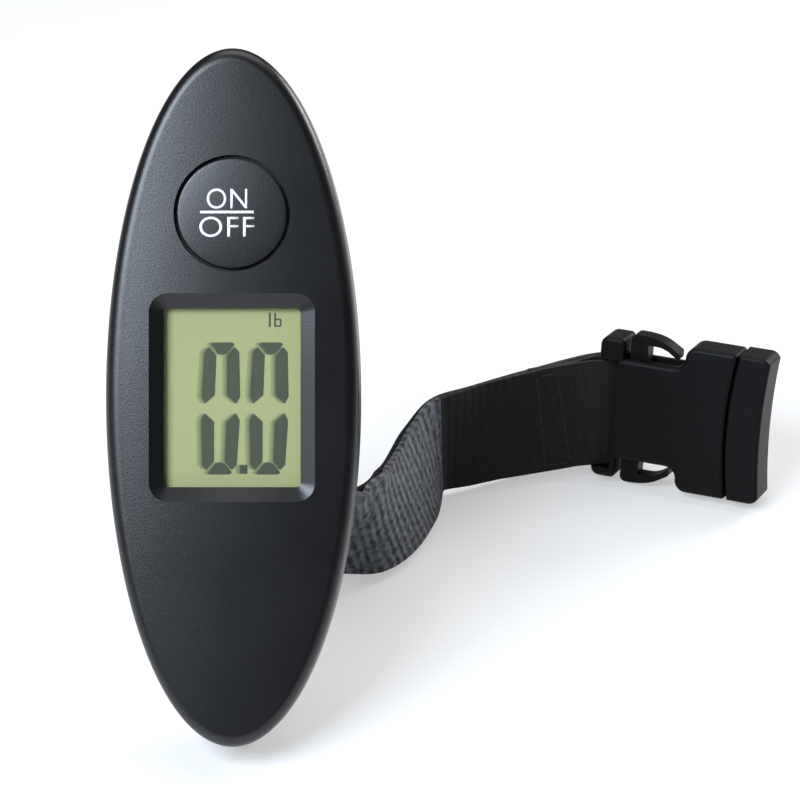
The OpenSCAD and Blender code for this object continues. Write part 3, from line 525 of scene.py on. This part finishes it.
for inset, rise in BUTTON_CROWN:
    bpy.ops.mesh.inset(thickness=inset * MM, depth=0)
    bpy.ops.transform.translate(value=(0, 0, rise * MM))
bpy.ops.object.mode_set(mode='OBJECT')
face_middle = Matrix.Translation((0, 0, BUTTON_FACE * MM))
settle(button, face_middle @ Matrix.Rotation(BUTTON_PLAY, 4, 'Y') @ face_middle.inverted())
boolean(button, round_block(BUTTON_FLANGE_R, GLASS_FRONT, BUTTON_SEAT), 'UNION')
only(button)
bpy.ops.object.shade_smooth_by_angle(angle=math.radians(40))
BUTTON_PLACE = CASING @ Matrix.Translation((0, 0, BUTTON_Z * MM)) @ FACE_TURN
button_black = moulded_plastic("button_black_plastic", linear(12, 12, 13), 0.36, level=0.6)


def lay_on_button(printed):
    """Presses a flat print onto the crowned face of the button, and gives it the thickness of ink."""
    apply_modifier(printed, 'SHRINKWRAP', target=button, wrap_method='PROJECT', use_project_z=True,
                   use_negative_direction=True, use_positive_direction=True, offset=0.02 * MM)
    apply_modifier(printed, 'SOLIDIFY', thickness=0.015 * MM, offset=0)


def legend(name, words, centre_x, centre_z, width, height):
    """Printed words of a given width and height, centred on the button's face."""
    bpy.ops.object.select_all(action='DESELECT')
    bpy.ops.object.text_add()
    printed = bpy.context.object
    printed.name = name
    printed.data.body = words
    printed.data.offset = -0.006
    printed.data.space_character = 1.05
    bpy.ops.object.convert(target='MESH')
    printed = bpy.context.object
    xs = [v.co.x for v in printed.data.vertices]
    ys = [v.co.y for v in printed.data.vertices]
    stretch_x = width * MM / (max(xs) - min(xs))
    stretch_y = height * MM / (max(ys) - min(ys))
    middle = ((max(xs) + min(xs)) / 2, (max(ys) + min(ys)) / 2)
    for vertex in printed.data.vertices:
        vertex.co.x = (vertex.co.x - middle[0]) * stretch_x + centre_x * MM
        vertex.co.y = (vertex.co.y - middle[1]) * stretch_y + (centre_z - BUTTON_Z) * MM
        vertex.co.z = (BUTTON_FACE + 1) * MM
    lay_on_button(printed)
    return printed


legend_white, shade = new_finish("legend_white_ink")
speck = shade.noise(shade.object_place(), 1500, 3)
shade.surface(Base_Color=speck.mix(linear(236, 238, 240), linear(250, 250, 250)), Roughness=speck * 0.1 + 0.5)
on_word = legend("button_legend_on", "ON", -0.95, 40.9, 8.3, LETTER_H)
off_word = legend("button_legend_off", "OFF", -1.0, 35.1, 11.3, LETTER_H)
bpy.ops.object.select_all(action='DESELECT')
bpy.ops.mesh.primitive_grid_add(x_subdivisions=24, y_subdivisions=2, size=MM)
line = bpy.context.object
line.name = "button_legend_line"
line_place = Matrix.Translation(Vector((LINE_X, LINE_Z - BUTTON_Z, BUTTON_FACE + 1)) * MM)
settle(line, line_place @ Matrix.Diagonal((*LINE_SIZE, 1, 1)))
lay_on_button(line)
for piece in (on_word, off_word, line):
    settle(piece, BUTTON_PLACE)
    dress(piece, legend_white, "on_off_button", "casing")
settle(button, BUTTON_PLACE)
dress(button, button_black, "on_off_button", "casing", "on_off_button")

# Unit button. A small grey button in the back that changes between pounds and kilograms.
# Its flange keeps it in its guide, and its stem presses the second switch on the board.
def whole_copy(node, name):
    """A copy of a solid with its flat faces made whole again."""
    bpy.ops.object.select_all(action='DESELECT')
    source = bpy.data.objects[node]
    piece = bpy.data.objects.new(name, source.data.copy())
    bpy.context.collection.objects.link(piece)
    only(piece)
    bpy.ops.object.mode_set(mode='EDIT')
    bpy.ops.mesh.select_all(action='SELECT')
    bpy.ops.mesh.remove_doubles(threshold=1e-6)
    bpy.ops.mesh.dissolve_limited(angle_limit=math.radians(0.5))
    bpy.ops.object.mode_set(mode='OBJECT')
    return piece


SHARP = math.radians(35)


def soften(piece, width):
    """Rounds all the sharp edges of a piece."""
    apply_modifier(piece, 'BEVEL', width=width * MM, segments=3, limit_method='ANGLE', angle_limit=SHARP)
    only(piece)
    bpy.ops.object.shade_smooth_by_angle(angle=SHARP)
    apply_modifier(piece, 'WEIGHTED_NORMAL', weight=100, keep_sharp=True)
    return piece


unit_button = soften(whole_copy("unit_button", "unit_button_cap"), 0.3)
unit_grey = moulded_plastic("unit_button_grey_plastic", linear(92, 92, 95), 0.45)
dress(unit_button, unit_grey, "unit_button", "grey_button", "unit_button")

# Load cell and yoke. A slotted steel beam is screwed to the rear shell at both ends and carries gauges.
# The yoke's stem passes through its middle, held by a nut, and the pin in its ears carries the webbing.
beam_steel = plain_steel("load_cell_steel", linear(186, 188, 192), 0.38)
yoke_steel = plain_steel("yoke_plated_steel", linear(196, 196, 198), 0.28)
gauge_film = moulded_plastic("gauge_film", linear(206, 150, 84), 0.35)
yoke = soften(whole_copy("yoke", "yoke_forging"), 0.4)
dress(yoke, yoke_steel, "housing", "steel", "yoke")
pin = soften(whole_copy("strap_pin", "strap_pin_turned"), 0.25)
dress(pin, yoke_steel, "housing", "steel", "strap_pin")
wire_red = moulded_plastic("wire_insulation", linear(150, 34, 30), 0.35)
coat(beam_steel, "load_cell")
coat(bright_steel, "load_cell_screws", "yoke_nut", "case_screws")
coat(gauge_film, "strain_gauges")
coat(wire_red, "gauge_wires", "battery_wires")

# Power supply. A coin cell lies in a well in the rear shell between two plated springs.
# A round cover with two lugs is turned shut over it, with a slot for a coin across its face.
contact_plate = plain_steel("plated_contact", linear(210, 180, 120), 0.3)
cover_black = moulded_plastic("cover_black_plastic", linear(19, 19, 20), 0.42)
coat(bright_steel, "coin_cell")
coat(contact_plate, "negative_contact", "positive_contact")
battery_cover = soften(whole_copy("battery_cover", "battery_cover_moulding"), 0.3)
dress(battery_cover, cover_black, "battery_cover", "casing", "battery_cover")

# Rear shell. The moulded back half of the casing, a shallow dome in the same black plastic.
# It has wells for the four screws, a slot for the yoke, a hole for the unit button and a seat for the cover.
REAR_SIDE = 4
REAR_DOME = 11.5
DOME_POWER = 2.4
BACK_PEAK = REAR_SIDE + REAR_DOME
CELL_Z = -46.5
WELL_TILT = math.radians(-7)
WELL_R = 12.5
COVER_R = 13.8
COVER_FACE = 11.0
UNIT_Z = 44
UNIT_HOLE_R = 3.8
SCREW_PLACES = [(x, z) for x in (-16.5, 16.5) for z in (-31, 31)]
SCREW_BOSS_R = 3.6
SCREW_BOSS = (0.4, 10.8)
SCREW_WELL_R = 2.5
SCREW_HEAD = 4
YOKE_SLOT = (9.6, 36.2, 4.79)


def dome_ring(share, inset=0.0):
    depth = REAR_SIDE + (REAR_DOME - inset) * math.sqrt(1 - share ** DOME_POWER)
    return ((HALF_LEN - inset) * share, (HALF_W - inset) * share, depth)


dome_shares = [math.cos(math.radians(90 * i / 24)) for i in range(1, 24)]
rear_rings = [dome_ring(share, WALL) for share in reversed(dome_shares)]
rear_rings += [(HALF_LEN - WALL, HALF_W - WALL, REAR_SIDE), (HALF_LEN - WALL, HALF_W - WALL, 0)]
rear_rings += [(HALF_LEN - PARTING, HALF_W - PARTING, 0), (HALF_LEN, HALF_W, PARTING)]
rear_rings += [(HALF_LEN, HALF_W, REAR_SIDE)]
rear_rings += [dome_ring(share) for share in dome_shares]
rear_shell = elliptical_loft("rear_shell_moulding", rear_rings)
for x, z in SCREW_PLACES:
    boolean(rear_shell, round_block(SCREW_BOSS_R, *SCREW_BOSS, x, -z), 'UNION')
for x, z in SCREW_PLACES:
    boolean(rear_shell, round_block(SCREW_WELL_R, SCREW_HEAD, BACK_PEAK, x, -z))
boolean(rear_shell, round_block(UNIT_HOLE_R, -1, BACK_PEAK + 1, 0, -UNIT_Z))
boolean(rear_shell, round_block(COVER_R, COVER_FACE, BACK_PEAK + 6, 0, -CELL_Z, WELL_TILT))
boolean(rear_shell, round_block(WELL_R, 2, BACK_PEAK, 0, -CELL_Z, WELL_TILT))
boolean(rear_shell, raised(rounded_sheet(*YOKE_SLOT, 2, steps=16), 20))
apply_modifier(rear_shell, 'BEVEL', width=0.3 * MM, segments=2, limit_method='ANGLE', angle_limit=SHARP)
settle(rear_shell, CASING @ FACE_TURN.inverted())
only(rear_shell)
bpy.ops.object.shade_smooth_by_angle(angle=math.radians(30))
dress(rear_shell, casing_black, "housing", "casing", "rear_shell")

# Webbing. One black ribbed webbing runs from the pin round both bars of the buckle and back.
# Its front run rises from the floor beside the casing, and its end is folded round the bar and sewn.
WEB_W = 25
WEB_T = 1.3
WEB_EDGE = 0.5
PIN_Y = 20.3
WRAP_R = 2.0 + 0.05 + WEB_T / 2
LOOP_R = 1.4 + 0.2 + WEB_T / 2
FOLD_HALF = WEB_T / 2 + 0.15
WEB_MEET = math.radians(32)
WEB_LOW = -1.9
WEB_SLOPE = 0.2
BAR_MID = 1.4
PLUG_BAR = 36.0
PLUG_BAR_Y = 0.4
PLUG_LOOP_R = 1 + 0.1 + WEB_T / 2
PLUG_START = 33.3
BEHIND = 4.75 + 1.8
NEST = WEB_T + 0.8
NEST_LOW = 1.2
NEST_FIRST = 8
PIN_ROWS = 9
ACROSS_STEPS = 14
BUCKLE = (
    Matrix.Translation((81.8, 93.6, -0.6)) @ Matrix.Rotation(math.radians(-19), 4, 'Z')
    @ Matrix.Rotation(math.radians(9.3), 4, 'Y') @ Matrix.Rotation(math.radians(14.5), 4, 'X')
)


def row(point, width_way):
    return Vector(point), Vector(width_way)


def on_pin(degrees):
    turn = math.radians(degrees)
    return row((WRAP_R * math.cos(turn), PIN_Y + WRAP_R * math.sin(turn), 0), (0, 0, 1))


def buckle_row(x, y, drop=0.0):
    return row(BUCKLE @ Vector((x, y, WEB_LOW - drop)), BUCKLE.to_3x3() @ Vector((0, 0, 1)))


def fold_row(back, aside):
    x = BAR_MID - back * math.cos(WEB_MEET) - aside * math.sin(WEB_MEET)
    y = aside * math.cos(WEB_MEET) - back * math.sin(WEB_MEET)
    return buckle_row(x, y, max(back - LOOP_R, 0) * WEB_SLOPE)


front_rows = [
    row((WRAP_R + 0.1, PIN_Y + 1.3, 0), (0, 0, 1)),
    row((WRAP_R + 0.6, PIN_Y + 5.6, 0), (0, 0, 1)),
    row((4.4, 30.6, -1.2), (0, 0.1, 1)),
    row((6, 35, -8), (0, 0.1, 1)),
    row((9.4, 39.5, -18.5), (0, -0.2, 1)),
    row((15, 43, -26.6), (0, -0.55, 0.83)),
    row((22, 46, -29.4), (-0.05, -0.76, 0.65)),
    row((28, 50, -28.4), (-0.1, -0.66, 0.75)),
    row((32, 54.5, -26.8), (-0.15, -0.58, 0.8)),
    row((36.2, 62, -22.9), (-0.18, -0.46, 0.86)),
    row((40, 71, -16.9), (-0.18, -0.4, 0.9)),
    row((43.8, 80, -10.9), (-0.14, -0.62, 0.77)),
    row((53, 85.5, -8.3), (-0.1, -0.46, 0.88)),
]
fold_rows = [(17, FOLD_HALF), (9, FOLD_HALF), (5, FOLD_HALF + 0.7), (2.6, LOOP_R - 0.2), (1.1, LOOP_R)]
front_route = [on_pin(180 + 22.5 * i) for i in range(PIN_ROWS)] + front_rows
front_route += [fold_row(back, -aside) for back, aside in fold_rows]
fold_turns = [math.radians(degrees) for degrees in range(-80, 81, 20)]
front_route += [fold_row(-LOOP_R * math.cos(turn), LOOP_R * math.sin(turn)) for turn in fold_turns]
front_route += [fold_row(back, aside) for back, aside in reversed(fold_rows)]


def nested(i):
    """A row of the return run, right behind the front run and a little lower."""
    after = front_rows[min(i + 1, len(front_rows) - 1)][0]
    along = (after - front_rows[i - 1][0]).normalized()
    across = (front_rows[i][1] - along * along.dot(front_rows[i][1])).normalized()
    through = along.cross(across)
    return front_rows[i][0] - through * NEST - across * NEST_LOW, across


return_route = [
    row((-WRAP_R, PIN_Y + 0.1, 0), (0, 0, 1)),
    row((-WRAP_R - 0.1, PIN_Y + 1.7, 0), (0, 0, 1)),
    row((-WRAP_R - 0.6, PIN_Y + 4, 0), (0, 0, 1)),
    row((-4.6, 28, -1.2), (0, 0.1, 1)),
    row((-10, 36, -5), (0, 0.1, 1)),
    row((-15, 47, -11), (0, 0, 1)),
    row((-13, 58, -18), (0, -0.15, 1)),
    row((-4, 63, -23.4), (0.05, -0.3, 0.95)),
    row((7, 60.5, -25.4), (0.02, -0.6, 0.8)),
    row((17, 56, -28.4), (-0.05, -0.86, 0.5)),
    row((25.6, 54, -28.6), (-0.1, -0.74, 0.66)),
]
return_route += [nested(i) for i in range(NEST_FIRST, len(front_rows))]
return_route += [row((65, 94.8, -5.4), (0, -0.3, 0.95)), buckle_row(-3, BEHIND, 1.2)]
return_route += [buckle_row(9, BEHIND), buckle_row(21, BEHIND), buckle_row(PLUG_START - 4, BEHIND)]
return_route += [buckle_row(PLUG_BAR - 1.4, BEHIND - 0.25), buckle_row(PLUG_BAR + 1.1, BEHIND - 1.95)]
return_route += [buckle_row(PLUG_BAR + PLUG_LOOP_R, PLUG_BAR_Y + 2)]
for i in range(9):
    turn = math.radians(-22.5 * i)
    return_route += [
        buckle_row(PLUG_BAR + PLUG_LOOP_R * math.cos(turn), PLUG_BAR_Y + PLUG_LOOP_R * math.sin(turn))
    ]
return_route += [buckle_row(PLUG_BAR - PLUG_LOOP_R, PLUG_BAR_Y + 1.6)]


def smooth_route(rows, steps):
    """A smooth run through the rows of a route."""
    run = []
    for i in range(len(rows) - 1):
        a, b, c, d = (rows[min(max(i + k, 0), len(rows) - 1)] for k in (-1, 0, 1, 2))
        for k in range(steps):
            t = k / steps
            run.append(tuple(
                (2 * b[n] + (c[n] - a[n]) * t + (2 * a[n] - 5 * b[n] + 4 * c[n] - d[n]) * t * t
                 + (3 * b[n] - a[n] - 3 * c[n] + d[n]) * t ** 3) / 2 for n in (0, 1)
            ))
    return run + [rows[-1]]


def web_frame(run, i):
    """The middle of the webbing at one step of its run, with the ways along, across and through it."""
    ahead = run[min(i + 1, len(run) - 1)][0]
    along = (ahead - run[max(i - 1, 0)][0]).normalized()
    across = (run[i][1] - along * along.dot(run[i][1])).normalized()
    return run[i][0], along, across, along.cross(across)


def webbing(name, run):
    """A flat webbing along a run: a grid laid on it, with its length and width in millimetres as UV."""
    bpy.ops.object.select_all(action='DESELECT')
    bpy.ops.mesh.primitive_grid_add(
        x_subdivisions=len(run) - 1, y_subdivisions=ACROSS_STEPS, size=MM, calc_uvs=True)
    band = bpy.context.object
    band.name = name
    lengths = [0.0]
    for last, here in zip(run, run[1:]):
        lengths.append(lengths[-1] + (here[0] - last[0]).length)
    spots = {}
    for vertex in band.data.vertices:
        i = round((vertex.co.x / MM + 0.5) * (len(run) - 1))
        share = vertex.co.y / MM
        middle, _, across, _ = web_frame(run, i)
        vertex.co = (middle + across * share * WEB_W) * MM
        spots[vertex.index] = (lengths[i], share * WEB_W)
    uv = band.data.uv_layers.active.data
    for loop in band.data.loops:
        uv[loop.index].uv = spots[loop.vertex_index]
    apply_modifier(band, 'SOLIDIFY', thickness=WEB_T * MM, offset=0)
    apply_modifier(band, 'BEVEL', width=WEB_EDGE * MM, segments=4, limit_method='ANGLE',
                   angle_limit=math.radians(60))
    only(band)
    bpy.ops.object.shade_smooth_by_angle(angle=math.radians(50))
    settle(band, CASING)
    return band, lengths


def woven(name, crease):
    """Polyester webbing with fuzzy slanting ribs, painted grey before its crease for the light on that turned
    part, and black after it.
    """
    material, shade = new_finish(name)
    uv = shade.add("ShaderNodeUVMap")
    along = shade.add("ShaderNodeSeparateXYZ", None, {"Vector": uv})
    across = shade.add("ShaderNodeSeparateXYZ", None, {"Vector": uv}, out=1)
    place = shade.object_place()
    fuzz = shade.noise(place, 1400, 4)
    clumps = shade.noise(place, 750, 3)
    before = (crease - along).math('MAXIMUM', 0.0)
    # Painted light: the share before the crease that is coloured lit grey, full from a quarter millimetre
    # before it.
    painted_lit_share = (before * 4).math('MINIMUM', 1.0)
    slant = across * (before * 0.011 + 0.06)
    ribs = ((along + slant + clumps * 0.8) * 2.7).math('SINE') * 0.5 + 0.5
    yarns = (across * 7.5).math('SINE') * 0.5 + 0.5
    relief = ribs * 0.6 + yarns * 0.15 + fuzz * 0.5
    lint = ribs * 0.45 + clumps * 2.0 - 0.75
    lint = lint.add("ShaderNodeClamp", None, {"Value": lint})
    # The grey tones are painted light on the turned part; the near-black tones are the webbing's own colour.
    colour = painted_lit_share.mix(
        lint.mix(linear(4, 4, 4), linear(15, 15, 14)),
        lint.mix(linear(30, 31, 35), linear(130, 134, 141)),
    )
    shade.surface(
        Base_Color=colour,
        Roughness=fuzz * 0.15 + 0.8,
        Normal=shade.bump(relief * (painted_lit_share * 0.7 + 0.3), 0.9, 0.0005),
        Sheen_Weight=0.1,
    )
    return material


def behind_buckle(x):
    return tuple(CASING @ (buckle_row(x, BEHIND)[0] * MM))


SLACK = (-3, 29)
ROUTE_STEPS = 9
CREASE_ROW = PIN_ROWS + 11
FOLD_ROW = PIN_ROWS + len(front_rows)
front_run = smooth_route(front_route, ROUTE_STEPS)
return_run = smooth_route(return_route, ROUTE_STEPS)
front_web, front_lengths = webbing("strap_front_webbing", front_run)
return_web, return_lengths = webbing("strap_return_webbing", return_run)
# The front run is painted grey up to its crease, in place of the light that falls on that part.
painted_lit_webbing = woven("webbing_painted_lit", front_lengths[CREASE_ROW * ROUTE_STEPS])
black_webbing = woven("webbing_black", 0.0)
dress(front_web, painted_lit_webbing, "strap", "webbing", "strap_front_run")
dress(return_web, black_webbing, None, "webbing", "strap_return_run")
behind_buckle(SLACK[0])
behind_buckle(SLACK[1])
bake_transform(return_web)

# Stitching. The folded end is sewn down with a box of black thread, seen on both faces of the fold.
# Each stitch is a short thread that sinks into the webbing at its ends.
STITCH = (0.95, 0.24, 0.16)
SEAM_HALF = 10.0
SEAM_PITCH = 2.0
SEAM_STITCHES = 11
SEAM_STEPS = (1, 7)


def stitch(run, i, share, lengthwise, outwards):
    """One stitch at a step of a run and a place across it, on the face that looks out of the fold."""
    middle, along, across, through = web_frame(run, i)
    first, second = (along, across) if lengthwise else (across, along)
    face = through if through.dot(BUCKLE.to_3x3() @ Vector((0, outwards, 0))) > 0 else -through
    bpy.ops.object.select_all(action='DESELECT')
    bpy.ops.mesh.primitive_uv_sphere_add(segments=10, ring_count=6, radius=MM)
    thread = bpy.context.object
    for vertex in thread.data.vertices:
        bow = 1 - (vertex.co.x / MM) ** 2
        vertex.co = Vector((vertex.co.x * STITCH[0], vertex.co.y * STITCH[1], vertex.co.z * STITCH[2] * bow))
    turn = Matrix((first, second, first.cross(second))).transposed().to_4x4()
    settle(thread, CASING @ Matrix.Translation((middle + across * share + face * WEB_T / 2) * MM) @ turn)
    return thread


threads = []
for first_step, outwards in ((FOLD_ROW * ROUTE_STEPS, -1), (len(front_run) - ROUTE_STEPS - 1, 1)):
    seam_rows = [first_step + step for step in SEAM_STEPS]
    for step in seam_rows:
        for k in range(SEAM_STITCHES):
            threads.append(stitch(front_run, step, k * SEAM_PITCH - SEAM_HALF, False, outwards))
    for step in range(seam_rows[0] + 2, seam_rows[1], 2):
        for share in (-SEAM_HALF - 1, SEAM_HALF + 1):
            threads.append(stitch(front_run, step, share, True, outwards))
only(*threads)
bpy.ops.object.join()
stitching = bpy.context.object
stitching.name = "strap_stitching"
bpy.ops.object.shade_smooth()
thread_black, shade = new_finish("thread_black")
twist = shade.noise(shade.object_place(), 2500, 2)
shade.surface(
    Base_Color=twist.mix(linear(12, 12, 12), linear(34, 34, 33)),
    Roughness=twist * 0.2 + 0.5,
    Normal=shade.bump(twist, 0.4, 0.0001),
)
dress(stitching, thread_black, "strap", "webbing")

# Buckle. A side-release buckle in black acetal: a socket half with two plates, and a plug half with two
# springy arms whose thumb pieces stand out at the sides. Each half has a bar for the webbing.
BUCKLE_HALF_T = 4.75
WEB_SLOT = (4.75, -14.75, 11.65)
SOCKET_ROUND = 1.05
PLUG_ROUND = 0.8
ARM_ROUND = 1.6
THUMB_REACH = 19
ON_PLATE = 0.02


def round_chosen(piece, width, steps, chosen):
    """Rounds the edges chosen by their two ends, in the buckle's own frame, and the bend across them."""
    only(piece)
    bpy.ops.object.mode_set(mode='EDIT')
    bpy.ops.mesh.select_mode(type='EDGE')
    bpy.ops.mesh.select_all(action='DESELECT')
    bpy.ops.object.mode_set(mode='OBJECT')
    sides = {}
    for face in piece.data.polygons:
        for key in face.edge_keys:
            sides.setdefault(key, []).append(face.normal.copy())
    to_buckle = BUCKLE.inverted() @ Matrix.Scale(1 / MM, 4) @ CASING.inverted()
    ends = [to_buckle @ vertex.co for vertex in piece.data.vertices]
    for edge in piece.data.edges:
        normals = sides[edge.key]
        bend = math.degrees(normals[0].angle(normals[-1]))
        edge.select = chosen(ends[edge.vertices[0]], ends[edge.vertices[1]], bend)
    bpy.ops.object.mode_set(mode='EDIT')
    bpy.ops.mesh.bevel(offset=width * MM, segments=steps, profile=0.5, affect='EDGES', clamp_overlap=False)
    bpy.ops.object.mode_set(mode='OBJECT')


def on_front(a, b, bend):
    return bend > 35 and all(abs(end.y + BUCKLE_HALF_T) < ON_PLATE for end in (a, b))


def on_front_or_back(a, b, bend):
    return bend > 35 and all(abs(abs(end.y) - BUCKLE_HALF_T) < ON_PLATE for end in (a, b))


def on_socket(a, b, bend):
    in_slot = all(end.x < WEB_SLOT[0] and WEB_SLOT[1] < end.z < WEB_SLOT[2] for end in (a, b))
    return on_front_or_back(a, b, bend) and not in_slot


def on_thumb_piece(a, b, bend):
    upright = abs((b - a).normalized().y) > 0.99
    return 8 < bend < 50 and upright and a.x < THUMB_REACH and abs(a.z) > WEB_W / 2


buckle_black = moulded_plastic("buckle_black_plastic", linear(5, 5, 6), 0.5, level=0.16)
socket = whole_copy("buckle_socket", "buckle_socket_moulding")
round_chosen(socket, SOCKET_ROUND, 5, on_socket)
soften(socket, 0.4)
dress(socket, buckle_black, "strap", "buckle", "buckle_socket")
plug = whole_copy("buckle_plug", "buckle_plug_moulding")
round_chosen(plug, PLUG_ROUND, 5, on_front)
soften(plug, 0.4)
dress(plug, buckle_black, "buckle_plug", "buckle", "buckle_plug")
for node, body in (("buckle_arm_upper", "upper_arm"), ("buckle_arm_lower", "lower_arm")):
    arm = whole_copy(node, node + "_moulding")
    round_chosen(arm, ARM_ROUND, 6, on_thumb_piece)
    soften(arm, 0.6)
    dress(arm, buckle_black, body, "buckle", node)

# Floor, light and camera. A pale glossy table top, a large soft light at the left and a smaller one
# at the right, with the camera square to the casing's face. Far from the object, all looks white.
FLOOR_GLOW = 0.45
FLOOR_NEAR = 0.35
FLOOR_FADE = 2.0
WORLD_LIGHT = 0.06


def ways_of_seeing(shade):
    """Whether a ray comes from the camera, from a gloss or through something clear."""
    rays = shade.add("ShaderNodeLightPath").socket.node.outputs
    return [Shade(shade.tree, rays[way]) for way in ("Is Camera Ray", "Is Glossy Ray", "Is Transmission Ray")]


floor_white, shade = new_finish("floor_white")
place = shade.object_place()
cloud = shade.noise(place, 6, 2)
distance = shade.add("ShaderNodeVectorMath", {"operation": 'LENGTH'}, {0: place}, out=1)
far = ((distance - FLOOR_NEAR) * FLOOR_FADE).math('MAXIMUM', 0.0).math('MINIMUM', 1.0)
paper = shade.add("ShaderNodeBsdfPrincipled", None, {
    "Base Color": cloud.mix((0.93, 0.935, 0.945, 1), (0.95, 0.955, 0.96, 1)), "Roughness": 0.22,
    "Specular IOR Level": 0.35})
glow = shade.add("ShaderNodeEmission", None, {"Color": (1, 1, 1, 1), "Strength": 1.0})
seen, mirrored, through = ways_of_seeing(shade)
looked_at = (seen + mirrored + through).math('MINIMUM', 1.0)
share = looked_at * FLOOR_GLOW + seen * far * (1 - FLOOR_GLOW)
shade.add("ShaderNodeOutputMaterial", None, {
    "Surface": shade.add("ShaderNodeMixShader", None, {0: share, 1: paper, 2: glow})})
bpy.ops.object.select_all(action='DESELECT')
bpy.ops.mesh.primitive_plane_add(size=8)
floor = bpy.context.object
floor.name = "floor"
floor.data.materials.append(floor_white)

world = bpy.data.worlds.new("studio")
bpy.context.scene.world = world
world.use_nodes = True
sky = world.node_tree.nodes["Background"]
sky.inputs["Color"].default_value = (1, 1, 1, 1)
seen = ways_of_seeing(Shade(world.node_tree))[0]
strength = seen * (1 - WORLD_LIGHT) + WORLD_LIGHT
world.node_tree.links.new(strength.socket, sky.inputs["Strength"])


def soft_light(name, place, target, size, power):
    bpy.ops.object.select_all(action='DESELECT')
    bpy.ops.object.light_add(type='AREA', location=place)
    lamp = bpy.context.object
    lamp.name = name
    lamp.data.shape = 'RECTANGLE'
    lamp.data.size = size[0]
    lamp.data.size_y = size[1]
    lamp.data.energy = power
    lamp.rotation_euler = (Vector(target) - Vector(place)).to_track_quat('-Z', 'Y').to_euler()
    return lamp


def from_camera_side(x, y, z):
    return CASING @ (Vector((x, y, z)) * MM)


casing_middle = from_camera_side(0, -10, 0)
left_place = from_camera_side(-440, -700, 290)
left_light = soft_light("left_soft_light", left_place, casing_middle, (0.55, 0.5), 13)
left_light.data.color = (0.82, 0.92, 1.05)
soft_light("right_soft_light", (0.48, 0.38, 0.28), (-0.01, 0.03, 0.02), (0.25, 0.25), 2.5)
soft_light("overhead_soft_light", (0.1, 0.5, 1.2), (0, 0, 0), (1.2, 1.0), 8)

camera_data = bpy.data.cameras.new("camera")
camera = bpy.data.objects.new("camera", camera_data)
bpy.context.collection.objects.link(camera)
camera.location = CASING @ (Vector((34.6, -750, -0.5)) * MM)
camera.rotation_euler = (math.pi / 2 - RECLINE, 0, 0)
camera_data.sensor_width = 36
camera_data.lens = 161.76
camera_data.clip_start = 0.01
bpy.context.scene.camera = camera
bpy.context.scene.view_settings.view_transform = 'Standard'
